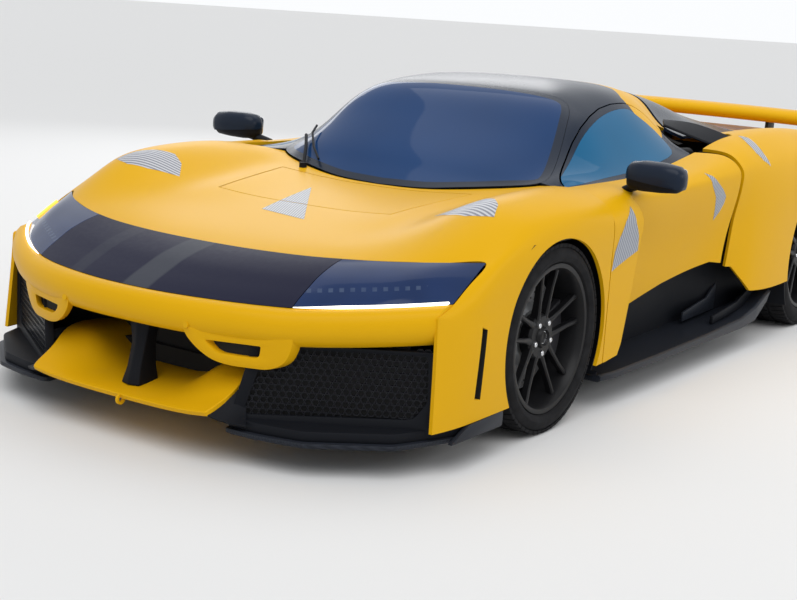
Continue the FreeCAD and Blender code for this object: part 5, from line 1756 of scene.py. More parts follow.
        cheek = smooth_skin(
            [
                [(0.386, -2.408, 0.166), (0.432, -2.382, 0.150), (0.492, -2.345, 0.141)],
                [(0.400, -2.345, 0.195), (0.432, -2.335, 0.178), (0.458, -2.305, 0.164)],
                [(0.412, -2.280, 0.240), (0.428, -2.285, 0.225), (0.445, -2.294, 0.210)],
                [(0.418, -2.215, 0.278), (0.428, -2.250, 0.275), (0.442, -2.290, 0.270)],
            ],
            levels=2,
        )
        face_out(cheek, Vector((0, -0.5, 1)))
        self.paints.pair(cheek, "tray_cheek", "black_trim", ["nose_carrier"], wall=0.008)
        # A near-black wall across the mouth: painted shade behind the opening
        across = [-0.86 + 0.043 * i for i in range(41)]
        mouth = loft(
            [[self.on_arc(x, 0.31 - 0.57 * max(0.0, abs(x) - 0.42), z) for x in across] for z in (0.52, 0.15)]
        )
        face_out(mouth, Vector((0, -1, 0)))
        self.paints.place(mouth, "mouth_wall", "dark_gap", "chassis", ["nose_carrier"], wall=0.006)
        winglet = slab(
            round_corners([(-1.960, 0.104), (-1.850, 0.150), (-1.640, 0.158), (-1.640, 0.104)], 0.012, 3), 0.984,
            1.000, "x", 0.004,
        )
        self.paints.pair(winglet, "splitter_winglet", "carbon", ["splitter"])

    def build(self) -> None:
        """Builds the nose."""
        self.build_bar()
        self.build_visor()
        self.build_grilles()
        self.build_tray()


# Wheels


@dataclass
class Wheel:
    """One wheel: tyre with its tread, rim with paired spokes, bolts and brake disc."""

    paints: Paintbox
    side: Side
    end: str
    track: float
    axle_y: float
    tyre_radius: float
    tyre_width: float
    rim_radius: float
    pairs: int = 5
    blocks: int = 64
    bolt_circle: float = 0.057
    disc_radius: float = 0.200
    holes: int = 30

    @property
    def label(self) -> str:
        """The wheel's place in words."""
        return f"{self.end}_{self.side.word}"

    def finish_off(self, bm: BMesh, what: str, finish: str, nodes: Sequence[str], sharp: float = 35.0) -> None:
        """Puts a mesh made about the origin, outer side towards +X, where the wheel is."""
        if self.side is Side.RIGHT:
            turned(bm, math.pi, "Z")
        shifted(bm, (self.side.value * self.track / 2, self.axle_y, self.tyre_radius))
        self.paints.place(
            bm, f"{what}_{self.label}", finish, f"wheel_{self.label}", [f"{n}_{self.label}" for n in nodes], sharp
        )

    def tyre(self) -> None:
        """The tyre's carcass and its rows of tread blocks."""
        r, out, half = self.rim_radius, self.tyre_radius - 0.006, self.tyre_width / 2
        side_line = [
            (half - 0.026, r + 0.002), (half - 0.022, r + 0.014), (half - 0.010, r + 0.020),
            (half - 0.003, r + 0.032), (half - 0.001, (r + out) / 2), (half - 0.004, out - 0.030),
            (half - 0.010, out - 0.016), (half - 0.022, out - 0.005),
            (half - 0.036, out),
        ]
        groove = []
        for place in (0.44, 0.16):
            g = half * place
            groove += [(g + 0.005, out), (g + 0.004, out - 0.005), (g - 0.004, out - 0.005), (g - 0.005, out)]
        right = side_line + groove
        inside_line = [
            (half - 0.040, out - 0.014), (half - 0.014, out - 0.034), (half - 0.014, r + 0.034),
            (half - 0.040, r + 0.003),
        ]
        profile = right + [(-a, b) for a, b in right[::-1]] + [(-a, b) for a, b in inside_line[::-1]] + inside_line
        length = math.tau * self.tyre_radius / self.blocks
        parts = [spun(profile, ORIGIN, 120)]
        rows = (
            (0.80, 0.20, 0.012, 0.0), (0.30, 0.115, 0.018, 0.5), (0.0, 0.105, 0.0, 0.25),
            (-0.30, 0.115, -0.018, 0.5), (-0.80, 0.20, -0.012, 0.0),
        )
        for place, share, skew, stagger in rows:
            x = place * half * (0.90 if abs(place) > 0.5 else 1.0)
            w = share * half
            block = bmesh.new()
            bmesh.ops.create_cube(block, size=1.0)
            bmesh.ops.scale(block, vec=(2 * w, length * 0.86, 0.012), verts=block.verts)
            edges = [e for e in block.edges if e.verts[0].co.z > 0 and e.verts[1].co.z > 0]
            bmesh.ops.bevel(block, geom=edges, offset=0.0012, affect="EDGES", segments=1, profile=0.5, material=-1)
            for vert in block.verts:
                vert.co.y += vert.co.x / max(w, 1e-6) * skew * 0.5
            drop_by = 0.0035 if abs(place) > 0.5 else 0.0
            shifted(block, (x, 0, self.tyre_radius - 0.0060 - drop_by))
            for k in range(self.blocks):
                parts.append(turned(block.copy(), math.tau * (k + stagger) / self.blocks, "X"))
            block.free()
        self.finish_off(merged(parts), "tyre_tread", "tyre_rubber", ["tyre"], 30)

    def rim(self) -> None:
        """Barrel, hub and spokes."""
        r, half = self.rim_radius, self.tyre_width / 2 - 0.016
        barrel = spun(
            [
                (half, r + 0.012), (half + 0.001, r + 0.006), (half - 0.001, r - 0.004), (half - 0.010, r - 0.010),
                (half - 0.030, r - 0.016), (0.02, r - 0.030), (-half + 0.02, r - 0.018), (-half, r - 0.006),
                (-half, r + 0.012), (-half + 0.009, r + 0.012), (-half + 0.012, r), (half - 0.012, r),
                (half - 0.008, r + 0.012),
            ],
            (0, 0, 0),
            120,
        )
        face = half - 0.018
        hub = spun(
            [
                (face - 0.016, 0.0), (face - 0.016, 0.022), (face - 0.006, 0.028), (face - 0.008, 0.034),
                (face - 0.018, 0.040), (face - 0.020, 0.074), (face - 0.030, 0.082), (face - 0.066, 0.078),
                (face - 0.070, 0.0),
            ],
            (0, 0, 0),
            72,
        )
        parts = [barrel, hub]
        for k in range(self.pairs):
            for lean in (-1, 1):
                parts.append(self.spoke(math.tau * k / self.pairs, lean, face))
        self.finish_off(merged(parts), "rim_spokes", "wheel_black", ["rim"])

    def spoke(self, turn: float, lean: int, face: float) -> BMesh:
        """One slender spoke with a raised spine, from the hub to the rim's lip."""
        rings = []
        end = self.rim_radius
        stations = (
            (0.058, 0.026, 0.016, -0.020, 0.036), (0.085, 0.029, 0.0105, -0.018, 0.032),
            (0.125, 0.034, 0.0085, -0.015, 0.028), (0.175, 0.040, 0.0078, -0.011, 0.026),
            (end - 0.040, 0.047, 0.0082, -0.006, 0.026), (end - 0.008, 0.053, 0.0120, -0.003, 0.030),
        )
        for radius, spread, width, along, deep in stations:
            y = lean * spread
            x = face + along
            rings.append(
                [
                    (x - 0.004, y - width, radius), (x, y - width * 0.45, radius), (x, y + width * 0.45, radius),
                    (x - 0.004, y + width, radius), (x - deep, y + width * 0.75, radius),
                    (x - deep, y - width * 0.75, radius),
                ]
            )
        return turned(capped(loft(rings, True)), turn, "X")

    def bolts(self) -> None:
        """The wheel bolts and the cap's ring."""
        face = self.tyre_width / 2 - 0.034
        parts = []
        for k in range(self.pairs):
            angle = math.tau * (k + 0.5) / self.pairs
            y, z = self.bolt_circle * math.sin(angle), self.bolt_circle * math.cos(angle)
            head = rod((face - 0.026, y, z), (face - 0.012, y, z), 0.0105, 6, 0.0100)
            collar = rod((face - 0.026, y, z), (face - 0.020, y, z), 0.0135, 20)
            inner, outer = face - 0.0125, face - 0.0105
            dimple = spun([(inner, 0.0035), (outer, 0.0035), (outer, 0.0075), (inner, 0.0085)], ORIGIN, 12)
            parts += [head, collar, shifted(dimple, (0, y, z))]
        parts.append(
            spun(
                [(face - 0.017, 0.020), (face - 0.0135, 0.020), (face - 0.0135, 0.0225), (face - 0.017, 0.0225)],
                ORIGIN, 40,
            )
        )
        self.finish_off(merged(parts), "wheel_bolts", "bolt_silver", ["rim"])

    def disc(self) -> None:
        """The drilled brake disc on its bell."""
        r = self.disc_radius
        ring = spun(
            [
                (0.0, 0.112), (0.0, r), (-0.012, r), (-0.012, r - 0.006), (-0.024, r - 0.006), (-0.024, r),
                (-0.036, r), (-0.036, 0.112),
            ],
            (0.018, 0, 0), 96,
        )
        # The holes are near-black pins on the disc's face: painted shade, not open holes
        holes = []
        for k in range(self.holes):
            for lane in range(3):
                radius = 0.128 + 0.024 * lane
                hole = rod((0.0175, 0, radius), (0.0188, 0, radius), 0.0042, 8)
                holes.append(turned(hole, math.tau * (k + lane / 3) / self.holes, "X"))
        self.finish_off(ring, "disc_ring", "disc_grey", ["disc"])
        self.finish_off(merged(holes), "disc_holes", "dark_gap", ["disc"])
        bell = spun(
            [(0.018, 0.114), (0.040, 0.090), (0.044, 0.032), (0.036, 0.032), (0.032, 0.084), (0.008, 0.106)],
            ORIGIN, 64,
        )
        self.finish_off(bell, "disc_bell", "alloy", ["disc"])

    def build(self) -> None:
        """Builds the wheel."""
        self.tyre()
        self.rim()
        self.bolts()
        self.disc()


# Sides, tail and cabin


@dataclass
class Sides:
    """Skirts, air channels, mirrors and the shoulder intakes."""

    paints: Paintbox

    def skirts(self) -> None:
        """The long black blade under each door, swept up at its tail."""
        rows = []
        for y, x_in, x_out, z_low, z_high in (
            (-0.884, 0.782, 0.985, 0.108, 0.134), (-0.80, 0.782, 1.000, 0.107, 0.135),
            (-0.40, 0.782, 1.006, 0.107, 0.138), (0.10, 0.782, 1.008, 0.107, 0.144),
            (0.50, 0.782, 1.010, 0.108, 0.158), (0.66, 0.782, 1.012, 0.122, 0.190),
            (0.790, 0.790, 1.014, 0.196, 0.243), (0.845, 0.800, 1.006, 0.236, 0.246),
        ):
            rows.append(
                [
                    (x_in, y, z_high - 0.004), (x_out - 0.045, y, z_high - 0.006),
                    (x_out - 0.012, y, z_high + 0.002), (x_out, y, z_high - 0.004),
                    (x_out - 0.002, y, z_low + 0.006), (x_out - 0.012, y, z_low), (x_in, y, z_low),
                ]
            )
        self.paints.pair(softened(capped(loft(rows, True)), 0.003), "skirt_blade", "carbon", ["side_skirts"])
        rib = slab(
            [(0.30, 0.150), (0.66, 0.178), (0.80, 0.245), (0.72, 0.262), (0.58, 0.215), (0.30, 0.186)], 0.93, 0.945,
            "x", 0.003,
        )
        self.paints.pair(rib, "skirt_rib", "black_trim", ["side_skirts"])

    def channels(self) -> None:
        """The open air channel under each door's raised foot."""
        rows = []
        for y in (-0.86, -0.40, 0.10, 0.30, 0.50, 0.72, 0.92):
            x = 0.786 + 0.155 * max(0.0, (y - 0.25) / 0.65) ** 1.3
            rows.append([(x, y, z) for z in (0.130, 0.300, 0.450, 0.640)])
        wall = smooth_skin(rows, levels=1, rounds=2)
        face_out(wall, ACROSS)
        self.paints.pair(wall, "channel_wall", "black_trim", ["side_ducts"])
        vane = slab(
            [(0.20, 0.160), (0.56, 0.170), (0.70, 0.30), (0.62, 0.34), (0.46, 0.235), (0.20, 0.200)], 0.835, 0.845,
            "x", 0.002,
        )
        self.paints.pair(vane, "channel_vane", "carbon", ["side_ducts"])

    def mirrors(self) -> None:
        """Two-part mirror housings on stalks."""
        rings = []
        for t, sy, sz, dz in (
            (0.0, 0.30, 0.34, -0.006), (0.03, 0.62, 0.70, -0.004), (0.10, 0.86, 0.92, 0.0), (0.30, 1.0, 1.0, 0.002),
            (0.62, 1.0, 0.98, 0.003), (0.88, 0.88, 0.86, 0.002), (0.97, 0.64, 0.60, 0.0), (1.0, 0.30, 0.28, -0.002),
        ):
            x = 0.905 + 0.242 * t
            y, z = -0.642 - 0.012 * t, 0.868 + dz
            ring = []
            for k in range(24):
                angle = math.tau * k / 24
                c, s = math.cos(angle), math.sin(angle)
                ring.append(
                    (
                        x, y + math.copysign(abs(c) ** 0.7, c) * 0.054 * sy,
                        z + math.copysign(abs(s) ** 0.7, s) * 0.059 * sz
                    )
                )
            rings.append(ring)
        shell = capped(loft(rings, True))
        lower = shell.copy()
        bmesh.ops.scale(
            lower, vec=(0.97, 0.90, 0.97), space=Matrix.Translation((-1.01, 0.648, -0.868)), verts=lower.verts
        )
        clipped(shell, (1.0, 0, 0.850), (-0.10, 0, -1))
        clipped(lower, (1.0, 0, 0.852), (0.10, 0, 1))
        self.paints.pair(capped(shell), "mirror_cap", "roof_gloss", ["mirror_SIDE"], "door_SIDE")
        self.paints.pair(capped(lower), "mirror_base", "black_trim", ["mirror_SIDE"], "door_SIDE")
        stalk = pipe(spline([(0.880, -0.606, 0.802), (0.910, -0.618, 0.815), (0.955, -0.634, 0.832)], 6), 0.017, 16)
        bmesh.ops.scale(stalk, vec=(1, 1.7, 1), space=Matrix.Translation((0, 0.618, 0)), verts=stalk.verts)
        self.paints.pair(stalk, "mirror_stalk", "black_trim", ["mirror_SIDE"], "door_SIDE")
        pane = slab(
            round_corners([(0.930, 0.828), (1.116, 0.828), (1.124, 0.908), (0.926, 0.910)], 0.016, 4), -0.5905,
            -0.5865, "y", 0.001,
        )
        self.paints.pair(pane, "mirror_pane", "bolt_silver", ["mirror_SIDE"], "door_SIDE")

    def shoulders(self) -> None:
        """The intakes behind the side windows, each a trough of painted shade under a slim black blade."""
        upper = spline(
            [(0.535, 0.485, 1.006), (0.628, 0.575, 1.000), (0.722, 0.625, 0.976), (0.846, 0.680, 0.932)], 4
        )
        lower = spline(
            [(0.600, 0.350, 0.993), (0.701, 0.420, 0.951), (0.789, 0.520, 0.911), (0.838, 0.600, 0.900)], 4
        )
        rows = []
        thick = Vector((0.25, 0, 1)).normalized() * 0.006
        for front, rear in zip(lower, upper):
            across = rear - front
            near, far = front + across * 0.04, rear - across * 0.05
            rows.append([front, near + thick, far + thick, rear, far - thick, near - thick])
        self.paints.pair(
            softened(capped(loft(rows, True)), 0.002), "shoulder_blade", "black_trim", ["shoulder_blades"]
        )
        # The trough under each blade is near-black: painted shade standing in for the open intake
        table = (
            (0.080, 0.632, 0.955, 0.770, 0.850), (0.200, 0.606, 0.948, 0.770, 0.868),
            (0.354, 0.562, 0.990, 0.770, 0.890), (0.450, 0.522, 0.980, 0.772, 0.905),
            (0.600, 0.495, 0.952, 0.785, 0.930), (0.735, 0.480, 0.930, 0.800, 0.942),
        )
        trough = smooth_skin(
            [
                [(x_in, y, z_in), (x_in + 0.030, y, 0.87), (0.675, y, 0.815), (0.745, y, 0.825), (x_out, y, z_out)]
                for y, x_in, z_in, x_out, z_out in table
            ],
            levels=1,
            rounds=2,
        )
        face_out(trough, UP)
        self.paints.pair(trough, "shoulder_trough", "dark_gap", ["shoulder_ducts"])
        tube_part = pipe(spline([(0.655, 0.20, 0.86), (0.662, 0.34, 0.865), (0.664, 0.50, 0.86)], 6), 0.034, 18)
        self.paints.pair(tube_part, "shoulder_pipe", "black_trim", ["shoulder_ducts"])

    def build(self) -> None:
        """Builds both sides."""
        self.skirts()
        self.channels()
        self.mirrors()
        self.shoulders()


@dataclass
class Tail:
    """Rear deck, wing, lamps, diffuser and exhausts."""

    paints: Paintbox
    wing_half: float = 0.900
    pillar_x: float = 0.43
    exhaust_x: float = 0.095

    def plan(self, behind: float) -> list[Point2]:
        """The tail's curve in plan."""
        return [
            (p.x, p.y + behind)
            for p in spline(
                [
                    (-0.925, 2.278), (-0.70, 2.332), (-0.35, 2.366), (0, 2.378), (0.35, 2.366), (0.70, 2.332),
                    (0.925, 2.278),
                ],
                7,
            )
        ]

    def band(self, behind: float, rows: Sequence[tuple[float, float]]) -> BMesh:
        """A skin that follows the tail's curve.

        Args:
            behind: How far it stands behind the curve.
            rows: Height and extra distance behind, from the top down.

        Returns:
            The skin.
        """
        bm = loft([[(x, y + more, z) for x, y in self.plan(behind)] for z, more in rows])
        face_out(bm, Vector((0, 1, 0.1)))
        return bm

    def deck(self) -> None:
        """The deck behind the engine lid and its lip."""
        skin = smooth_skin([both(row) for row in TAIL_NET], levels=2)
        face_out(skin, UP)
        for x in (-self.pillar_x, self.pillar_x):
            hole = ((x - 0.012, 2.128), (x + 0.012, 2.128), (x + 0.012, 2.252), (x - 0.012, 2.252))
            trimmed(skin, top_view(hole), UP, False)
        self.paints.place(skin, "deck_skin", "yellow_paint", "chassis", ["tail_deck"], 50, 0.012)
        rows = [(0.876, -0.105), (0.884, -0.045), (0.890, -0.014), (0.886, -0.002), (0.874, 0.0), (0.858, -0.006)]
        lip = self.band(-0.002, rows)
        self.paints.place(lip, "deck_lip", "yellow_paint", "chassis", ["tail_deck"], 50, 0.010)

    def panel(self) -> None:
        """The dark rear panel with its lamps in a recessed band."""
        upper = self.band(-0.008, [(0.856, 0.0), (0.830, 0.001), (0.775, -0.002), (0.764, -0.006)])
        lower = self.band(
            -0.008,
            [(0.686, -0.006), (0.672, -0.002), (0.600, 0.0), (0.52, -0.004), (0.44, -0.012), (0.404, -0.020)],
        )
        # The recessed lamp band is near-black: painted shade
        recess = self.band(-0.030, [(0.770, 0.0), (0.725, -0.004), (0.680, 0.0)])
        for name, bm, finish in (
            ("tail_upper", upper, "yellow_paint"), ("tail_lower", lower, "black_trim"),
            ("tail_recess", recess, "dark_gap"),
        ):
            self.paints.place(bm, name, finish, "chassis", ["tail_panel"], 50, 0.010)
        cell = hexagon(0.016, 0.003)
        bmesh.ops.transform(cell, matrix=Matrix.Rotation(math.radians(-90), 4, "X"), verts=cell.verts)
        cells = []
        for row in range(9):
            for column in range(46):
                x = -0.70 + column * 0.0311 + (row % 2) * 0.0155
                z = 0.440 + row * 0.024
                beside_tips = abs(x) >= 2 * self.exhaust_x or z >= 0.60
                if beside_tips:
                    cells.append(shifted(cell.copy(), (x, 2.374 - 0.103 * (abs(x) / 0.925) ** 2, z)))
        cell.free()
        mesh = face_out(merged(cells), REARWARD)
        self.paints.place(mesh, "tail_mesh", "mesh_black", "chassis", ["tail_panel"])
        for side in Side:
            points = [(x, y) for x, y in self.plan(-0.010) if 0.185 < abs(x) < 0.80 and x * side.value > 0]
            rows = [
                [(x, y + more, z) for x, y in points]
                for z, more in ((0.752, -0.012), (0.750, 0.0), (0.728, 0.004), (0.704, 0.0), (0.700, -0.012))
            ]
            lens = loft(rows)
            face_out(lens, REARWARD)
            self.paints.place(lens, f"tail_lens_{side.word}", "tail_lamp_red", "chassis", ["tail_lamps"], 50, 0.006)
            bars = [
                brick((x - 0.028, y - 0.016, 0.714), (x + 0.028, y - 0.002, 0.740), 0.003)
                for x, y in points[1:-1:2]
            ]
            self.paints.place(merged(bars), f"tail_cells_{side.word}", "lamp_chrome", "chassis", ["tail_lamps"])

    def exhausts(self) -> None:
        """The two round tips."""
        profile = [
            (0.0, 0.060), (0.0, 0.066), (0.006, 0.068), (0.120, 0.066), (0.126, 0.062), (0.120, 0.058),
            (0.02, 0.054),
        ]
        for side in Side:
            x = side.value * self.exhaust_x
            tip = turned(spun(profile, ORIGIN, 64), math.radians(90), "Z")
            self.paints.place(
                shifted(tip, (x, 2.276, 0.490)), f"exhaust_tip_{side.word}", "steel", "chassis", ["exhausts"]
            )
            # A near-black disc inside each tip: painted shade in the pipe
            core = rod((x, 2.290, 0.490), (x, 2.300, 0.490), 0.056, 40)
            self.paints.place(core, f"exhaust_core_{side.word}", "dark_gap", "chassis", ["exhausts"])

    def wing(self) -> None:
        """The raised rear wing with end plates, on two pillars."""
        section = [
            (0.0, 0.022), (0.004, 0.036), (0.018, 0.050), (0.055, 0.062), (0.120, 0.066), (0.205, 0.060),
            (0.285, 0.044), (0.328, 0.026), (0.332, 0.018), (0.300, 0.012), (0.240, 0.004), (0.170, -0.004),
            (0.095, -0.011), (0.040, -0.012), (0.012, -0.002), (0.002, 0.010),
        ]
        end_plate = [(2.075, 0.925), (2.385, 0.925), (2.405, 0.970), (2.370, 0.998), (2.12, 1.022), (2.078, 1.010)]
        rows = []
        for i in range(33):
            x = -self.wing_half + 2 * self.wing_half * i / 32
            curve = (abs(x) / self.wing_half) ** 2
            lift_by = 0.010 * (1 - curve)
            rows.append([(x, 2.080 + a * (1 - 0.10 * curve), 0.945 + b + lift_by) for a, b in section])
        self.paints.place(capped(loft(rows, True)), "wing_foil", "yellow_paint", "rear_wing", ["rear_wing"], 50)
        for side in Side:
            x = side.value * self.pillar_x
            pillar = slab(
                round_corners([(2.135, 0.705), (2.245, 0.705), (2.250, 0.950), (2.150, 0.950)], 0.01, 3), x - 0.009,
                x + 0.009, "x", 0.003,
            )
            self.paints.place(pillar, f"wing_pillar_{side.word}", "carbon", "rear_wing", ["rear_wing"])
            low, high = sorted((side.value * self.wing_half, side.value * self.wing_half - side.value * 0.006))
            plate = slab(round_corners(end_plate, 0.012, 4), low, high, "x", 0.002)
            self.paints.place(plate, f"wing_plate_{side.word}", "yellow_paint", "rear_wing", ["rear_wing"])

    def diffuser(self) -> None:
        """The carbon ramp under the tail and its upright fins."""
        ramp = loft(
            [
                [(x, y, z) for x in (-0.60, -0.30, 0, 0.30, 0.60)]
                for y, z in ((1.832, 0.134), (1.95, 0.172), (2.10, 0.228), (2.25, 0.292), (2.392, 0.351))
            ]
        )
        face_out(ramp, Vector((0, 0.3, 1)))
        self.paints.place(ramp, "diffuser_ramp", "carbon", "chassis", ["diffuser"], 50, 0.018)
        plate = slab([(-0.60, 0.335), (0.60, 0.335), (0.60, 0.400), (-0.60, 0.400)], 2.330, 2.354, "y", 0.003)
        self.paints.place(plate, "diffuser_plate", "black_trim", "chassis", ["diffuser"])
        fins = []
        for x in (-0.52, -0.39, -0.26, -0.13, 0.0, 0.13, 0.26, 0.39, 0.52):
            fins.append(
                slab(
                    round_corners(
                        [(1.95, 0.118), (2.38, 0.178), (2.403, 0.215), (2.403, 0.340), (1.95, 0.168)], 0.018, 3
                    ),
                    x - 0.005, x + 0.005, "x", 0.002,
                )
            )
        self.paints.place(merged(fins), "diffuser_fins", "carbon", "chassis", ["diffuser"])

    def build(self) -> None:
        """Builds the tail."""
        self.deck()
        self.panel()
        self.exhausts()
        self.wing()
        self.diffuser()


@dataclass
class Cabin:
    """Seats, steering wheel and wiper."""

    paints: Paintbox
    seat_x: float = 0.350
    most_swell: float = 0.012
    cloth_frames: int = 20

    def pad(self, label: str, low: Point3, high: Point3, lean: float, side: Side, node: str) -> None:
        """One upholstered pad, puffed up by cloth pressure.

        Args:
            label: The pad's name.
            low: Its lowest corner before it leans.
            high: Its highest corner.
            lean: How far it leans back, in degrees, about its lowest corner's edge.
            side: Which seat it is on.
            node: The seat's CAD node.
        """
        bm = brick(low, high, 0.018, 3)
        bmesh.ops.subdivide_edges(bm, edges=list(bm.edges), cuts=3, use_grid_fill=True)
        turn = Matrix.Rotation(math.radians(-lean), 4, "X")
        pivot = Matrix.Translation((0, low[1], low[2]))
        bmesh.ops.transform(bm, matrix=pivot @ turn @ pivot.inverted(), verts=bm.verts)
        shifted(bm, (side.value * self.seat_x, 0, 0))
        name = f"{label}_{side.word}"
        thing = drop(bm, name, [self.paints["seat_cloth"]], 70)
        self.puff(thing)
        smooth = thing.modifiers.new("smooth", "SUBSURF")
        smooth.levels = smooth.render_levels = 1
        show(thing, "chassis", "seat_cloth", node)

    def puff(self, thing: bpy.types.Object) -> None:
        """Swells a pad with cloth pressure, by no more than a cap, and keeps the result."""
        scene = bpy.context.scene
        remesh = thing.modifiers.new("voxels", "REMESH")
        remesh.mode = "VOXEL"
        remesh.voxel_size = 0.006
        graph = bpy.context.evaluated_depsgraph_get()
        mesh = bpy.data.meshes.new_from_object(thing.evaluated_get(graph))
        thing.modifiers.clear()
        thing.data = mesh
        before = [vert.co.copy() for vert in mesh.vertices]
        cloth = thing.modifiers.new("swell", "CLOTH")
        cloth.settings.use_pressure = True
        cloth.settings.uniform_pressure_force = 4.0
        cloth.settings.effector_weights.gravity = 0.0
        cloth.point_cache.frame_start = 1
        cloth.point_cache.frame_end = self.cloth_frames
        for step in range(1, self.cloth_frames + 1):
            scene.frame_set(step)
        graph = bpy.context.evaluated_depsgraph_get()
        swollen = bpy.data.meshes.new_from_object(thing.evaluated_get(graph))
        thing.modifiers.clear()
        for vert, start in zip(swollen.vertices, before):
            move = vert.co - start
            if move.length > self.most_swell:
                vert.co = start + move.normalized() * self.most_swell
        thing.data = swollen
        for polygon in swollen.polygons:
            polygon.use_smooth = True
        scene.frame_set(1)

    def shell(self, side: Side) -> None:
        """A seat's hard shell with raised sides."""
        node = f"seat_{side.word}"
        x0 = side.value * self.seat_x
        rows = []
        for y, z, lift in (
            (-0.335, 0.275, 0.02), (-0.20, 0.258, 0.05), (0.02, 0.232, 0.08), (0.17, 0.245, 0.09),
            (0.25, 0.34, 0.09), (0.31, 0.50, 0.09), (0.37, 0.66, 0.07), (0.43, 0.80, 0.04), (0.46, 0.88, 0.02),
        ):
            back = min(1.0, max(0.0, (z - 0.30) / 0.2)) if y > 0.2 else 0.0
            half = 0.225 if z < 0.7 else 0.225 - (z - 0.7) * 0.45
            row = []
            for u in (-1.0, -0.92, -0.70, -0.3, 0.3, 0.70, 0.92, 1.0):
                rise = lift * max(0.0, (abs(u) - 0.6) / 0.4) ** 1.5
                row.append((x0 + u * half, y - rise * back * 1.2, z + rise * (1 - back)))
            rows.append(row)
        bm = smooth_skin(rows, levels=2, rounds=3)
        face_out(bm, Vector((0, -0.6, 1)))
        self.paints.place(bm, f"seat_shell_{side.word}", "tub_carbon", "chassis", [node], 60, 0.012)
        self.pad("seat_cushion", (-0.175, -0.300, 0.292), (0.175, 0.120, 0.352), -4.0, side, node)
        self.pad("seat_back", (-0.165, 0.165, 0.360), (0.165, 0.215, 0.760), 20.0, side, node)
        base = brick((x0 - 0.16, -0.24, 0.132), (x0 + 0.16, 0.26, 0.225), 0.010)
        self.paints.place(base, f"seat_base_{side.word}", "cabin_trim", "chassis", [node])

    def steering(self) -> None:
        """A wheel flattened at the foot, with three spokes."""
        middle = Vector((self.seat_x, -0.395, 0.640))
        lean = math.radians(22)
        ring = []
        for k in range(48):
            angle = math.tau * k / 48
            x, z = 0.172 * math.sin(angle), 0.168 * math.cos(angle)
            z = max(z, -0.138)
            ring.append(middle + Vector((x, -z * math.sin(lean), z * math.cos(lean))))
        rings = []
        for k, point in enumerate(ring):
            run = (ring[(k + 1) % 48] - ring[k - 1]).normalized()
            axis = Vector((0, math.cos(lean), math.sin(lean)))
            out = run.cross(axis).normalized()
            rings.append(
                [
                    point + (out * math.cos(math.tau * i / 12) * 0.014 + axis * math.sin(math.tau * i / 12) * 0.017)
                    for i in range(12)
                ]
            )
        rim = loft(rings + [rings[0]], True)
        bmesh.ops.remove_doubles(rim, verts=rim.verts, dist=1e-6)
        bmesh.ops.recalc_face_normals(rim, faces=rim.faces)
        self.paints.place(rim, "steering_rim", "cabin_trim", "steering_wheel", ["steering_wheel"])
        parts = [brick((-0.055, -0.020, -0.050), (0.055, 0.020, 0.045), 0.014, 4)]
        for low, high in (
            ((-0.165, -0.010, -0.014), (-0.045, 0.008, 0.016)), ((0.045, -0.010, -0.014), (0.165, 0.008, 0.016)),
            ((-0.022, -0.010, -0.135), (0.022, 0.008, -0.040)),
        ):
            parts.append(brick(low, high, 0.004, 2))
        parts.append(rod((0, 0.0, 0), (0, -0.150, 0), 0.018, 20))
        whole = merged(parts)
        turn = Matrix.Translation(middle) @ Matrix.Rotation(lean, 4, "X")
        bmesh.ops.transform(whole, matrix=turn, verts=whole.verts)
        self.paints.place(whole, "steering_boss", "tub_carbon", "steering_wheel", ["steering_wheel"])

    def wiper(self) -> None:
        """One long wiper parked up the far side of the screen."""
        arm = pipe(((-0.40, -0.962, 0.776), (-0.47, -0.86, 0.836), (-0.545, -0.765, 0.876)), 0.007, 10)
        rubber = ((-0.345, -0.935, 0.803), (-0.43, -0.86, 0.843), (-0.52, -0.755, 0.888), (-0.555, -0.68, 0.912))
        blade = pipe(rubber, 0.005, 8)
        boss = rod((-0.40, -0.965, 0.758), (-0.40, -0.965, 0.785), 0.016, 20)
        self.paints.place(merged([arm, blade, boss]), "wiper", "black_trim", "chassis")

    def build(self) -> None:
        """Builds the cabin."""
        for side in Side:
            self.shell(side)
        self.steering()
        self.wiper()


# Stage


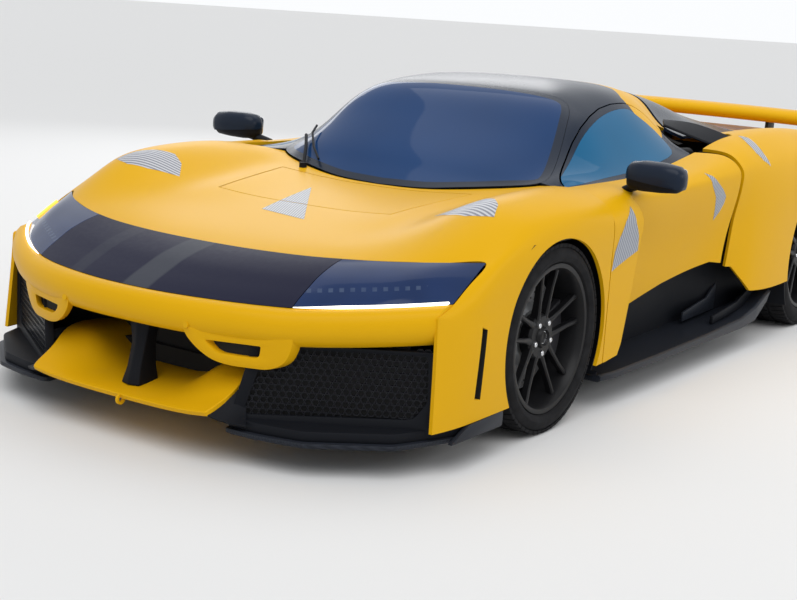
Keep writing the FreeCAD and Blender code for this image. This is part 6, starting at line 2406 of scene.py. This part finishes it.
@dataclass
class Studio:
    """Floor, soft lamps and the camera at the photograph's angle."""

    focal: float = 64.8
    place: Point3 = (3.2072, -5.6520, 1.4343)
    yaw: float = 33.430
    pitch: float = 11.514
    roll: float = 3.694

    def floor(self) -> None:
        """A plain pale floor."""
        bm = bmesh.new()
        bmesh.ops.create_grid(bm, x_segments=1, y_segments=1, size=400.0)
        shader = Shader("floor_pale", {"Base Color": (0.80, 0.80, 0.80, 1.0), "Roughness": 0.95})
        thing = drop(bm, "floor", [shader.material])

    def lamp(self, name: str, place: Point3, aim: Point3, size: tuple[float, float], watts: float) -> None:
        """A soft rectangular lamp."""
        data = bpy.data.lights.new(name, "AREA")
        data.shape = "RECTANGLE"
        data.size, data.size_y = size
        data.energy = watts
        data.specular_factor = 0.15
        thing = bpy.data.objects.new(name, data)
        run = Vector(aim) - Vector(place)
        thing.matrix_world = Matrix.Translation(place) @ run.to_track_quat("-Z", "Y").to_matrix().to_4x4()
        bpy.context.scene.collection.objects.link(thing)

    def sun(self) -> None:
        """One wide soft light from the front left, even over car and floor."""
        data = bpy.data.lights.new("sun", "SUN")
        data.energy = 1.5
        data.angle = math.radians(50)
        thing = bpy.data.objects.new("sun", data)
        turn = Vector((-0.35, 0.55, -1.0)).to_track_quat("-Z", "Y").to_matrix().to_4x4()
        thing.matrix_world = Matrix.Translation((3.0, -5.0, 8.0)) @ turn
        bpy.context.scene.collection.objects.link(thing)

    def sky(self) -> None:
        """An even pale world that the camera sees as white."""
        world = bpy.data.worlds.new("pale")
        world.use_nodes = True
        tree = world.node_tree
        tree.nodes.clear()
        out = tree.nodes.new("ShaderNodeOutputWorld")
        rays = tree.nodes.new("ShaderNodeLightPath")
        seen = rays.outputs["Is Camera Ray"]
        for ray in ("Is Glossy Ray", "Is Transmission Ray"):
            either = tree.nodes.new("ShaderNodeMath")
            either.operation = "MAXIMUM"
            tree.links.new(seen, either.inputs[0])
            tree.links.new(rays.outputs[ray], either.inputs[1])
            seen = either.outputs[0]
        mix = tree.nodes.new("ShaderNodeMixShader")
        tree.links.new(seen, mix.inputs[0])
        for slot, strength in ((1, 0.50), (2, 1.0)):
            glow = tree.nodes.new("ShaderNodeBackground")
            glow.inputs["Color"].default_value = (0.97, 0.985, 1.0, 1.0)
            glow.inputs["Strength"].default_value = strength
            tree.links.new(glow.outputs[0], mix.inputs[slot])
        tree.links.new(mix.outputs[0], out.inputs[0])
        bpy.context.scene.world = world
        bpy.context.scene.view_settings.view_transform = "Standard"

    def camera(self) -> None:
        """The camera that the photograph was taken with."""
        data = bpy.data.cameras.new("camera")
        data.lens = self.focal
        data.sensor_width = 36.0
        data.clip_end = 200.0
        thing = bpy.data.objects.new("camera", data)
        yaw, pitch, roll = (math.radians(v) for v in (self.yaw, self.pitch, self.roll))
        ahead = Vector((-math.sin(yaw) * math.cos(pitch), math.cos(yaw) * math.cos(pitch), -math.sin(pitch)))
        right = ahead.cross(UP).normalized()
        up = right.cross(ahead)
        tilted_right = right * math.cos(roll) + up * math.sin(roll)
        tilted_up = -right * math.sin(roll) + up * math.cos(roll)
        turn = Matrix((tilted_right, tilted_up, -ahead)).transposed().to_4x4()
        thing.matrix_world = Matrix.Translation(self.place) @ turn
        bpy.context.scene.collection.objects.link(thing)
        bpy.context.scene.camera = thing

    def build(self) -> None:
        """Sets the stage."""
        self.floor()
        self.sun()
        self.lamp("side", (6.5, 0.5, 3.2), (0.5, 0.2, 0.5), (6.0, 1.6), 60.0)
        self.lamp("top", (-0.5, 1.5, 6.0), (0, 0, 0.5), (6.0, 5.0), 90.0)
        self.lamp("back", (-5.5, 6.0, 4.0), (0, 0.5, 0.6), (5.0, 2.5), 80.0)
        self.sky()
        self.camera()


# The front subframe and nose carrier get the near-black of painted shade, as they sit under the body
CARRIED_OVER = {
    "tub": "tub_carbon", "engine": "alloy", "front_subframe": "dark_gap", "rear_subframe": "black_trim",
    "dashboard": "cabin_trim", "knuckle_left": "caliper_dark", "knuckle_right": "caliper_dark",
    "nose_carrier": "dark_gap", "front_wheel_housings": "black_trim", "rear_wheel_housings": "black_trim",
}
FRONT_WHEEL = {
    "end": "front", "track": 1.701, "axle_y": FRONT_AXLE, "tyre_radius": 0.340, "tyre_width": 0.285,
    "rim_radius": 0.254,
}
REAR_WHEEL = {
    "end": "rear", "track": 1.660, "axle_y": REAR_AXLE, "tyre_radius": 0.370, "tyre_width": 0.345,
    "rim_radius": 0.267,
}


def main() -> None:
    """Builds the car and its stage."""
    paints = Paintbox()
    for node, finish in CARRIED_OVER.items():
        paints.dress(node, finish)
    BodySkins(paints).build()
    Nose(paints).build()
    for side in Side:
        for wheel in (FRONT_WHEEL, REAR_WHEEL):
            Wheel(paints, side, **wheel).build()
    Sides(paints).build()
    Tail(paints).build()
    Cabin(paints).build()
    Studio().build()


if __name__ == "__main__":
    main()
